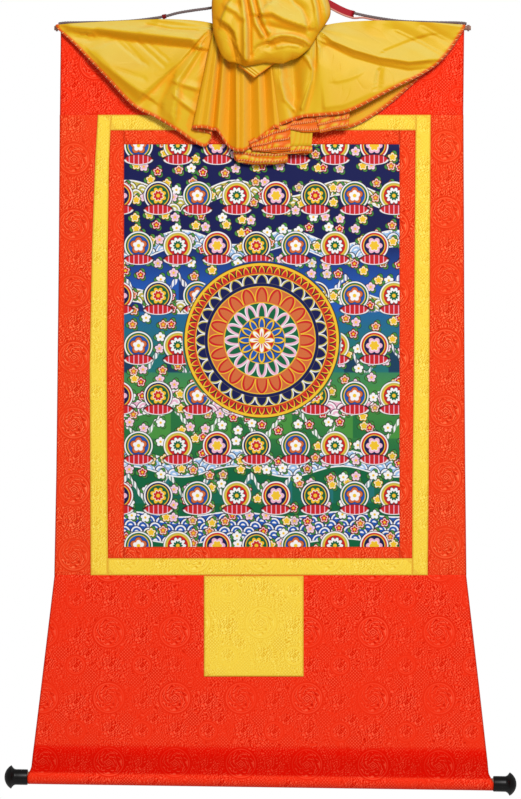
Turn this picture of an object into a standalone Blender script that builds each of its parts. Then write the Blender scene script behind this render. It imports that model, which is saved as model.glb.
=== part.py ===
"""Thangka scroll painting: a painted cloth in a brocade mount, with its veil gathered up over the top.

Metres, +Z up. The front faces -Y and +X is to the viewer's right. The origin is the hanging point, where
the cord goes over the nail. Tables give millimetres: across is to the right of the centre line, down is
below the top rod's axis, and out is in front of the middle of the flat cloth.
"""

from collections import namedtuple
from math import asin, cos, pi, radians, sin, sqrt

import bmesh
import bpy
from mathutils import Vector

MM = 0.001
ROD_BELOW_NAIL = 0.074
CLOTH = 1.2
SEAM = 0.3

# Rods, cord and ribbon, in millimetres
ROD_RADIUS = 2.5
ROD_ENDS = (-231.5, 235.0)
HEM_INNER_GAP = 0.3
CORD_RADIUS = 1.65
CORD_STEP = 6.4
LASHING_RADIUS = 5.6
LASHING_WIDTH = 3.3
LASHING_INSET = 1.2
RIBBON_WIDTH = 6.0
RIBBON_THICK = 1.0
TIE_RADIUS = 3.2
TIE_LENGTH = 5.0

# The roller and its knobs, in millimetres; the roller hangs a little askew
DOWEL_RADIUS = 6.25
ROLLER_DOWN = 843.9
ROLLER_OUT = -9.0
ROLLER_TILT = 0.0143
SLEEVE_ENDS = (-261.8, 260.6)
SOCKET_DEPTH = 10.0
KNOB_LENGTH = 26.0
KNOB_NECK_LENGTH = 13.2
KNOB_NECK_RADIUS = 8.7
KNOB_RIM_AT = 18.6
KNOB_RIM_RADIUS = 13.0
KNOB_ROUNDING = 0.7

TOP_SEAM = 97.4
BOTTOM_SEAM = 612.5
CREASE_DOWN = 837.6
SAG_FROM = 700.0

# The top hem's section as (out, down) either side of its turn over the rod
TOP_HEM_TAIL = [(-1.5, 16.0), (-1.5, 10.0), (-1.5, 6.0)]
TOP_HEM_FRONT = [(0.35, 6.0), (0.0, 9.5), (0.0, 30.0)]
TOP_HEM_TURN = range(30, 331, 25)

# The bottom panel hangs flat to the last of these heights, then bends back to the crease over the roller:
# back is the share of the whole depth that it has gone back by that share of the way down
BOTTOM_FLAT_TO = [660.0, 720.0, 775.0, 806.0]
Bend = namedtuple("Bend", "share back")
BENDS = [Bend(0.22, 0.06), Bend(0.42, 0.22), Bend(0.6, 0.45), Bend(0.76, 0.69), Bend(0.9, 0.9)]
SLEEVE_TURN = range(48, 376, 12)

# Where the vertical edges run at each height: the mount is a little uneven, as sewn by hand
Edges = namedtuple("Edges", "down cloth_left band_left inner_left inner_right band_right cloth_right")
EDGES = [
    Edges(-4.0, -224.0, -182.5, -168.0, 173.5, 189.8, 227.4),
    Edges(97.4, -225.0, -182.5, -168.0, 173.5, 189.8, 226.3),
    Edges(147.0, -225.3, -185.4, -170.5, 173.2, 189.5, 226.5),
    Edges(247.0, -226.0, -189.0, -172.0, 172.3, 189.0, 227.0),
    Edges(377.0, -227.4, -191.5, -173.0, 171.5, 188.3, 227.5),
    Edges(497.0, -228.8, -191.0, -172.5, 170.0, 187.5, 228.3),
    Edges(612.5, -231.0, -190.4, -171.5, 169.5, 186.5, 229.6),
]
Flare = namedtuple("Flare", "down cloth_left cloth_right")
FLARES = [
    Flare(612.5, -231.0, 229.6),
    Flare(832.0, -257.3, 255.0),
    Flare(842.0, *SLEEVE_ENDS),
]
BAND_TOP = (97.4, 114.2)
BAND_BOTTOM = (594.0, 612.5)
PAINTING = (-153.4, 155.1, 130.3, 581.0)
DOOR_PATCH = [(-63.8, 613.2), (-63.8, 725.8), (47.6, 726.4), (47.6, 613.6)]

# The veil's folds from the left corner to the right one. Each row is the line of one ridge, trough or
# fold edge, from the gather under the puff down to the hem; bow bends it midway, and steps is how many
# columns of the sheet lie between it and the next row.
Fold = namedtuple("Fold", "name gx gd go hx hd ho bx bd bo steps")
FOLDS = [
    Fold("left top edge", -54.6, 1.0, 8.0, -226.0, -3.7, 5.0, 0, -8.6, 0, 2),
    Fold("left corner", -54.4, 1.6, 8.1, -226.0, 1.5, 5.2, 0, -6.0, 1.5, 3),
    Fold("left wing upper", -54.2, 2.4, 8.2, -208.8, 18.8, 7.5, 0, -3.0, 3.5, 4),
    Fold("left wing middle", -54.0, 3.2, 8.4, -173.6, 56.0, 12.0, 0, 0, 5.0, 4),
    Fold("left wing belly", -53.6, 3.8, 8.6, -143.7, 87.4, 15.0, 0, 0, 5.0, 3),
    Fold("left wing lower", -53.2, 4.2, 8.8, -115.9, 102.4, 14.5, 0, 0, 4.0, 3),
    Fold("left tail ridge", -52.6, 4.8, 9.0, -91.8, 117.3, 11.0, 0, 0, 3.0, 2),
    Fold("left tail", -52.0, 5.2, 9.0, -76.0, 128.0, 8.0, 0, 0, 1.0, 2),
    Fold("left tip", -51.2, 5.6, 9.2, -62.0, 133.1, 6.0, 0, 0, 0, 2),
    Fold("left turn", -50.2, 5.8, 10.4, -55.5, 120.0, 8.0, 0, 0, 0, 2),
    Fold("left under layer", -52.6, 6.0, 11.8, -73.0, 115.8, 11.2, 0, 0, 0, 2),
    Fold("front fold edge", -53.8, 6.2, 13.6, -76.4, 113.4, 14.2, 0, 0, 0, 2),
    Fold("ridge 1", -52.0, 6.2, 15.6, -69.4, 114.0, 18.0, 0, 0, 0, 2),
    Fold("trough 1", -49.3, 6.2, 13.6, -62.7, 113.2, 13.6, 0, 0, 0, 2),
    Fold("ridge 2", -45.9, 6.2, 15.8, -56.6, 114.9, 18.0, 0, 0, 0, 2),
    Fold("trough 2", -42.6, 6.2, 13.0, -51.5, 116.5, 9.5, 0, 0, -1.0, 3),
    Fold("ridge 3", -38.1, 6.4, 16.0, -45.4, 118.7, 17.0, 0, 0, 1.0, 3),
    Fold("trough 3", -33.6, 6.6, 12.6, -37.0, 133.3, 8.0, 0, 0, -1.0, 3),
    Fold("ridge 4", -28.0, 6.8, 16.0, -25.8, 139.4, 17.0, 0, 0, 1.0, 3),
    Fold("trough 4", -22.4, 6.8, 12.8, -22.0, 139.0, 11.4, 0, 0, -0.6, 3),
    Fold("ridge 5", -16.8, 7.0, 15.8, -15.4, 139.6, 16.5, 0, 0, 1.0, 3),
    Fold("trough 5", -11.2, 7.0, 12.8, -9.0, 132.5, 11.2, 0, 0, -0.6, 3),
    Fold("ridge 6", -4.5, 7.0, 15.8, -1.1, 124.9, 16.5, 0, 0, 1.0, 3),
    Fold("trough 6", 1.2, 7.0, 12.8, 7.0, 119.4, 11.2, 0, 0, -0.6, 3),
    Fold("ridge 7", 8.0, 7.0, 15.8, 15.6, 113.2, 16.5, 0, 0, 1.5, 3),
    Fold("middle turn", 12.4, 7.2, 13.6, 22.6, 119.0, 12.6, 0, 0, 0, 2),
    Fold("middle right", 10.0, 7.4, 11.2, 18.0, 138.6, 9.0, 0, 0, 0, 2),
    Fold("middle", -4.0, 7.4, 10.4, -5.0, 141.2, 8.2, 0, 0, 0, 2),
    Fold("middle left", -19.0, 7.4, 10.4, -26.5, 139.0, 8.2, 0, 0, 0, 2),
    Fold("rear turn", -21.4, 7.4, 9.0, -30.0, 146.0, 6.6, 0, 0, 0, 2),
    Fold("rear left", -19.0, 7.4, 7.6, -24.0, 150.8, 5.0, 0, 0, 0, 2),
    Fold("rear", -4.0, 7.4, 7.2, -4.0, 153.4, 4.6, 0, 0, 0, 2),
    Fold("rear right", 12.0, 7.4, 7.2, 27.5, 151.6, 4.6, 0, 0, 0, 2),
    Fold("rear tier", 17.0, 7.4, 7.2, 31.5, 141.5, 4.4, 0, 0, 0, 2),
    Fold("rear hem", 26.0, 7.4, 7.2, 54.3, 140.6, 4.2, 0, 0, 0, 1),
    Fold("rear step", 30.0, 7.4, 7.2, 56.5, 118.5, 4.2, 0, 0, 0, 2),
    Fold("rear wing lower", 44.0, 7.2, 7.0, 100.0, 111.9, 4.2, 0, 0, 0, 2),
    Fold("rear wing middle", 56.0, 6.4, 7.0, 136.3, 91.3, 4.0, 0, 0, 0, 2),
    Fold("rear wing upper", 60.0, 5.8, 7.0, 174.0, 59.0, 3.9, 0, 0, 0.2, 3),
    Fold("right turn", 61.6, 5.6, 8.4, 189.5, 44.5, 6.3, 0, 0, 0.4, 3),
    Fold("right under upper", 60.2, 5.8, 10.0, 172.0, 55.0, 8.9, 0, 0, 0.2, 2),
    Fold("right under layer", 56.0, 6.4, 10.2, 132.0, 84.0, 8.0, 0, 0, 0.2, 2),
    Fold("right under lower", 38.0, 7.0, 10.6, 66.0, 99.0, 8.4, 0, 0, 0.2, 2),
    Fold("right under edge", 21.0, 7.2, 12.4, 27.0, 108.0, 11.2, -1.0, 0, 0.4, 2),
    Fold("ridge 8", 21.5, 7.2, 15.8, 30.6, 107.0, 16.0, -1.5, 0, 2.5, 3),
    Fold("pocket", 39.0, 7.2, 14.2, 40.2, 103.4, 15.0, 2.0, 0, -0.6, 3),
    Fold("ridge 9", 57.5, 6.8, 15.0, 47.6, 101.6, 17.0, 3.0, 0, 2.6, 3),
    Fold("right front lower", 61.6, 6.2, 15.0, 69.4, 99.7, 18.0, 0.6, 0, 4.6, 4),
    Fold("right front belly", 63.4, 5.6, 14.6, 99.2, 95.0, 18.5, 0, 0, 6.0, 4),
    Fold("right front middle", 64.4, 4.8, 14.0, 147.5, 69.9, 16.0, 0, 0, 6.0, 4),
    Fold("right front upper", 65.0, 4.0, 13.0, 184.6, 50.4, 12.0, 0, 0, 4.5, 3),
    Fold("right wing fold", 65.2, 3.2, 11.8, 205.0, 33.6, 8.5, 0, -3.0, 3.0, 3),
    Fold("right corner", 65.2, 2.4, 10.8, 224.5, 6.0, 5.6, 0, -7.0, 1.0, 2),
    Fold("right top edge", 65.0, 1.8, 10.0, 229.0, -2.8, 5.0, 0, -10.0, 0, 1),
]
BOW_SKEW = 0.6
FAN_ROWS = 12
VEIL_CLEARANCE = 2.2
OFF_HEM_TO = 3.0
OFF_PANEL_FROM = 10.0
FLAP_FROM = "front fold edge"
FLAP_TO = "ridge 7"

# Soft creases laid over the wings and the puff: a band along each line is raised by rise millimetres, or
# sunk; the wings' creases fade in below the gather and fade towards the hem
CREASE_FADE_IN = 4.0
CREASE_FADE_OUT = 5.0
CREASE_AT_HEM = 0.35
Crease = namedtuple("Crease", "name part width rise line")
CREASES = [
    Crease("left swag valley", "left", 9.0, -4.5, [(-214, 3), (-150, 10), (-76, 21)]),
    Crease("left swag ridge", "left", 8.0, 2.5, [(-190, -3), (-130, -1), (-72, 8)]),
    Crease("left light panel", "left", 26.0, 4.0, [(-165, 28), (-118, 42)]),
    Crease("left long crease", "left", 8.0, -3.5, [(-58, 9), (-91, 39), (-127, 75), (-140, 92)]),
    Crease("left stripe", "left", 9.0, 3.0, [(-70, 30), (-100, 85), (-106, 110)]),
    Crease("right long valley", "right", 9.0, -3.0, [(72, 14), (100, 31), (139, 43), (197, 41)]),
    Crease("right long ridge", "right", 8.0, 2.5, [(80, 6), (110, 20), (150, 30), (195, 30)]),
    Crease("right upper crease", "right", 7.0, 2.0, [(150, 5), (204, 33)]),
    Crease("right belly", "right", 24.0, 3.0, [(72, 62), (100, 60)]),
    Crease("puff main fold", "puff", 8.0, 4.0, [(-24, -46), (-20, -15), (-16, 15), (-17, 38)]),
    Crease("puff second fold", "puff", 7.0, 3.0, [(-14, -44), (-12, -17), (-3, 15)]),
    Crease("puff left pocket", "puff", 13.0, -6.0, [(-40, 4), (-36, 22), (-30, 34)]),
    Crease("puff low pocket", "puff", 11.0, -6.0, [(17, 25), (40, 27)]),
    Crease("puff roll", "puff", 7.0, 3.0, [(8, 19), (21, 12), (34, 12), (50, 18)]),
    Crease("puff top facet", "puff", 22.0, 3.0, [(14, -18), (38, -12)]),
    Crease("puff valley", "puff", 9.0, -4.0, [(-4, -46), (2, -20), (8, -2)]),
    Crease("puff right valley", "puff", 8.0, -4.0, [(58, -44), (60, -14), (54, 4)]),
]

# The puff: the veil goes on up behind the gather, turns over and hangs down in front to a tucked lip.
# face_out is the middle of the sheet, side_out its two edges, which turn back, and side_drop how much
# lower those edges lie.
Station = namedtuple("Station", "name left right down face_out side_out side_drop")
STATIONS = [
    Station("gather", -54.0, 8.0, 6.0, 14.0, 14.0, 0.0),
    Station("neck", -51.5, 52.0, -10.0, 11.2, 11.2, 0.0),
    Station("back", -51.0, 65.0, -30.0, 10.5, 11.0, 0.0),
    Station("rise", -48.0, 60.0, -46.5, 12.6, 12.0, 2.5),
    Station("top", -46.5, 57.0, -54.5, 21.0, 16.5, 6.0),
    Station("brow", -48.5, 62.0, -48.0, 30.0, 21.0, 3.0),
    Station("upper face", -54.0, 73.0, -32.0, 35.0, 21.0, 0.0),
    Station("face", -54.5, 77.0, -12.0, 37.0, 20.5, 0.0),
    Station("lower face", -52.5, 64.5, 8.0, 38.0, 22.0, 0.0),
    Station("belly", -47.0, 55.0, 25.0, 37.0, 25.5, 0.0),
    Station("low belly", -41.5, 45.0, 35.5, 34.0, 27.0, 0.0),
    Station("lip", -35.0, 35.0, 40.5, 29.5, 26.0, 0.0),
    Station("under", -31.5, 31.0, 36.5, 25.6, 23.6, 0.0),
    Station("tucked end", -29.5, 29.0, 27.0, 23.0, 22.0, 0.0),
]
FRONT_STATIONS = range(5, 11)
GATHER_BLEND = 0.10
EVEN_SHARE = 0.6

# The hanging cord from lashing to lashing, over the nail
CORD_ROUTE = [
    (-226.9, -5.0, -1.5),
    (-219, -6.1, -1.5),
    (-200, -6.4, -1.5),
    (-170, -7.0, -1.5),
    (-145, -8.3, -1.2),
    (-124, -10.6, -0.8),
    (-107.5, -13.2, -0.2),
    (-93, -16.9, 0.5),
    (-75, -19.8, 1.2),
    (-56, -22.4, 2.0),
    (-43, -26.2, 2.0),
    (-31, -35, 1.5),
    (-20, -47.5, 0.8),
    (-11, -61, 0.2),
    (-5.5, -70, 0),
    (0, -72.4, 0),
    (7.5, -69.5, 0),
    (25, -58.5, 0.2),
    (50, -43.5, 0.8),
    (72.8, -31, 1.0),
    (95.2, -19.6, 0.4),
    (116, -14.2, -0.4),
    (136.6, -10.6, -1.0),
    (158, -7.9, -1.5),
    (189, -6.6, -1.5),
    (222, -6.1, -1.5),
    (230.3, -5.0, -1.5),
]
TIE_LEFT_ACROSS = -107.5
TIE_RIGHT_ACROSS = 103.0
RIBBON_ENDS = (97.5, 12.0)


def point(across, down, out):
    """The place of a table's point."""
    return Vector((across * MM, -out * MM, -ROD_BELOW_NAIL - down * MM))


def material(name, colour, roughness, metallic=0.0):
    made = bpy.data.materials.new(name)
    made.use_nodes = True
    shader = made.node_tree.nodes["Principled BSDF"]
    shader.inputs["Base Color"].default_value = (*colour, 1.0)
    shader.inputs["Roughness"].default_value = roughness
    shader.inputs["Metallic"].default_value = metallic
    made.diffuse_color = (*colour, 1.0)
    return made


def add_object(name, data, finish):
    made = bpy.data.objects.new(name, data)
    bpy.context.scene.collection.objects.link(made)
    data.materials.append(finish)
    return made


def mesh_object(name, points, faces, finish, smooth_angle=None):
    """An object of its own from points and faces, shaded smooth up to an angle if one is given."""
    mesh = bpy.data.meshes.new(name)
    mesh.from_pydata([tuple(p) for p in points], [], faces)
    mesh.update()
    if smooth_angle is not None:
        mesh.shade_smooth()
        mesh.set_sharp_from_angle(angle=radians(smooth_angle))
    return add_object(name, mesh, finish)


def give_thickness(sheet, thickness):
    """Turns an open sheet into a closed solid, half of its thickness on each side."""
    solidify = sheet.modifiers.new("Thickness", "SOLIDIFY")
    solidify.thickness = thickness * MM
    solidify.offset = 0.0
    return sheet


def spline(rows, steps):
    """A smooth curve through rows of numbers, with a given count of steps after each row but the last."""
    curve = []
    for i, count in enumerate(steps[: len(rows) - 1]):
        start, end = rows[i], rows[i + 1]
        before = rows[max(i - 1, 0)]
        after = rows[min(i + 2, len(rows) - 1)]
        for k in range(count):
            t = k / count
            curve.append(
                [
                    0.5 * (2 * b + (c - a) * t + (2 * a - 5 * b + 4 * c - d) * t**2)
                    + 0.5 * (3 * b - a - 3 * c + d) * t**3
                    for a, b, c, d in zip(before, start, end, after)
                ]
            )
    curve.append(list(rows[-1]))
    return curve


def edge_at(column, down, table=EDGES):
    """Where one of the vertical edges runs at a given height."""
    for upper, lower in zip(table, table[1:]):
        if down <= lower.down:
            share = max(0.0, (down - upper.down) / (lower.down - upper.down))
            return getattr(upper, column) + share * (getattr(lower, column) - getattr(upper, column))
    return getattr(table[-1], column)


def heights(top, bottom):
    """The heights at which a strip's edges are given: its ends and the table's rows between them."""
    return [top] + [row.down for row in EDGES if top < row.down < bottom] + [bottom]


def flat_piece(name, outline, finish, out=0.0):
    """A flat cut of cloth: an outline of (across, down) points, given its thickness."""
    bm = bmesh.new()
    back = out - CLOTH / 2
    face = bm.faces.new([bm.verts.new(point(across, down, back)) for across, down in outline])
    grown = bmesh.ops.extrude_face_region(bm, geom=[face])
    front = [v for v in grown["geom"] if isinstance(v, bmesh.types.BMVert)]
    bmesh.ops.translate(bm, verts=front, vec=Vector((0, -CLOTH * MM, 0)))
    bmesh.ops.recalc_face_normals(bm, faces=bm.faces)
    mesh = bpy.data.meshes.new(name)
    bm.to_mesh(mesh)
    bm.free()
    return add_object(name, mesh, finish)


def strip(name, left, right, top, bottom, finish):
    """A strip between two edges, each a table column or a fixed place, less half a seam all round."""

    def place(edge, down):
        return edge_at(edge, down) if isinstance(edge, str) else edge

    gap = SEAM / 2
    rows = heights(top + gap, bottom - gap)
    left_side = [(place(left, down) + gap, down) for down in rows]
    right_side = [(place(right, down) - gap, down) for down in reversed(rows)]
    return flat_piece(name, left_side + right_side, finish)


def grid_faces(columns, rows):
    """Faces of a grid whose points run down each column."""
    return [
        (i * rows + j, i * rows + j + 1, (i + 1) * rows + j + 1, (i + 1) * rows + j)
        for i in range(columns - 1)
        for j in range(rows - 1)
    ]


def top_hem_profile():
    """The top panel's section as (out, down): its tail behind, round the rod, and down to the seam."""
    radius = ROD_RADIUS + HEM_INNER_GAP + CLOTH / 2
    section = list(TOP_HEM_TAIL)
    for degrees in TOP_HEM_TURN:
        angle = radians(degrees)
        section.append((-radius * sin(angle), radius * cos(angle)))
    return section + TOP_HEM_FRONT + [(0.0, TOP_SEAM - SEAM / 2)]


def roller_sleeve_profile():
    """The bottom panel's section as (out, down): down the front, back to the crease, round the dowel."""
    radius = DOWEL_RADIUS + HEM_INNER_GAP + CLOTH / 2
    section = [(0.0, BOTTOM_SEAM + SEAM / 2)] + [(0.0, down) for down in BOTTOM_FLAT_TO]
    bend_from = BOTTOM_FLAT_TO[-1]
    depth = ROLLER_OUT + radius * sin(radians(SLEEVE_TURN[0]))
    for bend in BENDS:
        section.append((depth * bend.back, bend_from + bend.share * (CREASE_DOWN - bend_from)))
    for degrees in SLEEVE_TURN:
        angle = radians(degrees)
        section.append((ROLLER_OUT + radius * sin(angle), ROLLER_DOWN - radius * cos(angle)))
    return section


def sag(across, down):
    """How much lower the askew roller pulls the cloth at a place."""
    share = min(1.0, max(0.0, (down - SAG_FROM) / (CREASE_DOWN - SAG_FROM)))
    return ROLLER_TILT * across * share * share


def section_panel(name, section, edges, column_count, finish):
    """A panel with one section all across, between the cloth's left and right edges in a table."""
    gap = SEAM / 2
    places = []
    for i in range(column_count):
        share = i / (column_count - 1)
        for out, down in section:
            left = edge_at("cloth_left", down, edges) + gap
            right = edge_at("cloth_right", down, edges) - gap
            across = left + share * (right - left)
            places.append(point(across, down + sag(across, down), out))
    panel = mesh_object(name, places, grid_faces(column_count, len(section)), finish, 50)
    return give_thickness(panel, CLOTH)


def turned(name, profile, finish, steps=32, smooth_angle=40):
    """A turned solid about +X from a closed profile of (along, radius) points in millimetres."""
    bm = bmesh.new()
    ring = [bm.verts.new(Vector((along, 0, radius)) * MM) for along, radius in profile]
    edges = [bm.edges.new((a, b)) for a, b in zip(ring, ring[1:] + ring[:1])]
    bmesh.ops.spin(
        bm,
        geom=ring + edges,
        cent=(0, 0, 0),
        axis=(1, 0, 0),
        angle=2 * pi,
        steps=steps,
        use_merge=True,
        use_duplicate=False,
    )
    bmesh.ops.remove_doubles(bm, verts=bm.verts, dist=0.00001)
    bmesh.ops.dissolve_degenerate(bm, edges=bm.edges, dist=0.00001)
    bmesh.ops.recalc_face_normals(bm, faces=bm.faces)
    mesh = bpy.data.meshes.new(name)
    bm.to_mesh(mesh)
    bm.free()
    mesh.shade_smooth()
    mesh.set_sharp_from_angle(angle=radians(smooth_angle))
    return add_object(name, mesh, finish)


def bar(name, ends, radius, finish):
    """A straight round bar along X about its object's own origin."""
    profile = [(ends[0], 0), (ends[0], radius), (ends[1], radius), (ends[1], 0)]
    return turned(name, profile, finish, 24)


def knob_profile():
    """A knob's half section: a straight neck, a flare, a rim and a domed end, with the dowel's socket."""
    socket = DOWEL_RADIUS + SEAM
    neck, rim, soft = KNOB_NECK_RADIUS, KNOB_RIM_RADIUS, KNOB_ROUNDING
    profile = [(SOCKET_DEPTH, 0), (SOCKET_DEPTH, socket), (0, socket), (0, neck - soft), (soft, neck)]
    for share in (0.0, 0.3, 0.55, 0.78):
        along = KNOB_NECK_LENGTH + share * (KNOB_RIM_AT - soft - KNOB_NECK_LENGTH)
        profile.append((along, neck + (rim - soft - neck) * share**2))
    profile += [(KNOB_RIM_AT - soft, rim - soft), (KNOB_RIM_AT, rim)]
    dome = KNOB_LENGTH - KNOB_RIM_AT
    sphere = (rim**2 + dome**2) / (2 * dome)
    for share in (0.94, 0.8, 0.6, 0.4, 0.2):
        angle = share * asin(rim / sphere)
        profile.append((KNOB_LENGTH - sphere * (1 - cos(angle)), sphere * sin(angle)))
    return profile + [(KNOB_LENGTH, 0)]


def roller_and_knobs(wood, black):
    """The dowel with a knob on each end, all turned together about the askew roller's middle."""
    middle = point(0, ROLLER_DOWN, ROLLER_OUT)
    tilt = (0, ROLLER_TILT, 0)
    left, right = SLEEVE_ENDS[0] - SEAM, SLEEVE_ENDS[1] + SEAM
    inside = SOCKET_DEPTH - SEAM
    dowel = bar("roller", (left - inside, right + inside), DOWEL_RADIUS, wood)
    dowel.location = middle
    dowel.rotation_euler = tilt
    for name, end, way in (("finial_left", left, -1), ("finial_right", right, 1)):
        profile = [(end + way * along, radius) for along, radius in knob_profile()]
        knob = turned(name, profile, black)
        knob.location = middle
        knob.rotation_euler = tilt


def crease_rise(part, across, down):
    """How far the creases lift a part of the veil at a place, falling off smoothly from each line."""
    rise = 0.0
    for crease in CREASES:
        if crease.part != part:
            continue
        nearest = crease.width
        for start, end in zip(crease.line, crease.line[1:]):
            run = (end[0] - start[0], end[1] - start[1])
            share = ((across - start[0]) * run[0] + (down - start[1]) * run[1]) / (run[0] ** 2 + run[1] ** 2)
            share = min(1.0, max(0.0, share))
            away = sqrt((across - start[0] - share * run[0]) ** 2 + (down - start[1] - share * run[1]) ** 2)
            nearest = min(nearest, away)
        rise += crease.rise * (0.5 + 0.5 * cos(pi * nearest / crease.width))
    return rise


def least_out(down):
    """How far in front of the mount the veil's middle stays: just off the top hem, then 2 mm clear."""
    off_hem = ROD_RADIUS + HEM_INNER_GAP + CLOTH + SEAM + CLOTH / 2
    off_panel = CLOTH / 2 + VEIL_CLEARANCE + CLOTH / 2
    share = min(1.0, max(0.0, (down - OFF_HEM_TO) / (OFF_PANEL_FROM - OFF_HEM_TO)))
    return off_hem + share * (off_panel - off_hem)


def fan_columns():
    """The veil below the gather, one list of (across, down, out) per column, from the gather to the hem."""
    rows = [fold[1:10] for fold in FOLDS]
    steps = [fold.steps for fold in FOLDS]
    names = [fold.name for fold in FOLDS for _ in range(fold.steps)]
    wing_ends = names.index("left turn"), names.index("right front lower")
    columns = []
    for i, (gx, gd, go, hx, hd, ho, bx, bd, bo) in enumerate(spline(rows, steps)):
        wing = "left" if i < wing_ends[0] else "right" if i > wing_ends[1] else ""
        column = []
        for j in range(FAN_ROWS + 1):
            share = j / FAN_ROWS
            bow = sin(pi * share**BOW_SKEW)
            across = gx + share * (hx - gx) + bow * bx
            down = gd + share * (hd - gd) + bow * bd
            out = go + share * (ho - go) + bow * bo
            fade = min(1.0, CREASE_FADE_IN * share, CREASE_FADE_OUT * (1 - share) + CREASE_AT_HEM)
            out += fade * crease_rise(wing, across, down)
            column.append((across, down, max(out, least_out(down))))
        columns.append(column)
    return columns, names


def flap_rows(first_row):
    """The puff's rows of (across, down, out) above the gather's own row, each as long as that one."""
    stations = spline([s[1:] for s in STATIONS], [1] * len(STATIONS))
    count = len(first_row)
    rows = []
    for j, (left, right, middle_down, face_out, side_out, drop) in enumerate(stations[1:], 1):
        blend = min(1.0, j / (len(stations) - 1) / GATHER_BLEND)
        row = []
        for i, gathered in enumerate(first_row):
            turn = 2 * i / (count - 1) - 1
            spread = EVEN_SHARE * turn + (1 - EVEN_SHARE) * sin(turn * pi / 2)
            crown = sqrt(max(0.0, 1 - abs(spread) ** 3))
            across = (left + right) / 2 + spread * (right - left) / 2
            out = side_out + crown * (face_out - side_out)
            down = middle_down + (1 - crown) * drop
            if j in FRONT_STATIONS:
                out += crown * crease_rise("puff", across, down)
            made = (across, down, out)
            row.append(tuple(a + blend * (b - a) for a, b in zip(gathered, made)))
        rows.append(row)
    return rows


def veil(finish):
    """The veil, one cloth: a fan of folds below its gather, and a puff turned over in front of it."""
    columns, names = fan_columns()
    rows = FAN_ROWS + 1
    places = [p for column in columns for p in column]
    faces = grid_faces(len(columns), rows)
    carried = range(names.index(FLAP_FROM), names.index(FLAP_TO) + 1)
    below = [i * rows for i in carried]
    for row in flap_rows([columns[i][0] for i in carried]):
        above = range(len(places), len(places) + len(row))
        places += row
        faces += [(below[k], below[k + 1], above[k + 1], above[k]) for k in range(len(row) - 1)]
        below = above
    sheet = mesh_object("veil", [point(*p) for p in places], faces, finish, 180)
    return give_thickness(sheet, CLOTH)


def cord_line():
    """The cord's line, as points a step apart along a smooth curve through its route."""
    fine = [Vector(p) for p in spline(CORD_ROUTE, [20] * len(CORD_ROUTE))]
    line = [fine[0]]
    walked = 0.0
    for before, after in zip(fine, fine[1:]):
        walked += (after - before).length
        if walked >= CORD_STEP:
            line.append(after)
            walked = 0.0
    if (line[-1] - fine[-1]).length < CORD_STEP / 2:
        line.pop()
    line.append(fine[-1])
    return line


def hanging_cord(finish):
    curve = bpy.data.curves.new("hanging_cord", "CURVE")
    curve.dimensions = "3D"
    curve.bevel_depth = CORD_RADIUS * MM
    curve.bevel_resolution = 2
    curve.use_fill_caps = True
    line = cord_line()
    path = curve.splines.new("POLY")
    path.points.add(len(line) - 1)
    for spot, place in zip(path.points, line):
        spot.co = (*point(*place), 1.0)
    return add_object("hanging_cord", curve, finish)


def cord_at(across):
    """The cord's place and direction where it crosses a given width."""
    line = [Vector(p) for p in spline(CORD_ROUTE, [20] * len(CORD_ROUTE))]
    for before, after in zip(line, line[1:]):
        if before.x <= across <= after.x:
            return before, (after - before).normalized()
    raise ValueError("the cord doesn't cross there")


def ring_profile(inner, outer, width):
    """The section of a soft ring with rounded outer edges."""
    soft = min(outer - inner, width) * 0.3
    half = width / 2
    return [
        (-half, inner),
        (-half, outer - soft),
        (-half + soft, outer),
        (half - soft, outer),
        (half, outer - soft),
        (half, inner),
    ]


def lashing(name, end, way, finish):
    """The cord's turns round one end of the rod, beside the cloth."""
    ring = ring_profile(ROD_RADIUS + SEAM, LASHING_RADIUS, LASHING_WIDTH)
    made = turned(name, ring, finish, 20)
    made.location = point(end - way * (LASHING_INSET + LASHING_WIDTH / 2), 0, 0)
    return made


def thread_tie(name, across, finish):
    """Crimson thread wound round the cord."""
    place, along = cord_at(across)
    ring = ring_profile(CORD_RADIUS + SEAM, TIE_RADIUS, TIE_LENGTH)
    made = turned(name, ring, finish, 16)
    made.location = point(*place)
    pitch = -(point(*(place + along)) - point(*place)).normalized().z
    made.rotation_euler = (0, pitch, 0)
    return made


def ribbon(finish):
    """The flat ribbon that hangs along the front of the cord's right half, its top edge on the cord."""
    count = 16
    places = []
    for i in range(count):
        share = i / (count - 1)
        across = RIBBON_ENDS[0] + share * (RIBBON_ENDS[1] - RIBBON_ENDS[0])
        place, along = cord_at(across)
        below = Vector((along.y, -along.x, 0)).normalized()
        if below.y < 0:
            below = -below
        out = place.z + CORD_RADIUS + SEAM + RIBBON_THICK / 2
        top = Vector((place.x, place.y, out))
        places += [top, top + below * RIBBON_WIDTH / 2, top + below * RIBBON_WIDTH]
    faces = grid_faces(count, 3)
    sheet = mesh_object("ribbon", [point(*p) for p in places], faces, finish, 60)
    return give_thickness(sheet, RIBBON_THICK)


def brocade_panels(red):
    section_panel("top_panel", top_hem_profile(), EDGES, 7, red)
    strip("side_left", "cloth_left", "band_left", TOP_SEAM, BOTTOM_SEAM, red)
    strip("side_right", "band_right", "cloth_right", TOP_SEAM, BOTTOM_SEAM, red)
    section_panel("bottom_panel", roller_sleeve_profile(), FLARES, 13, red)


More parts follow.
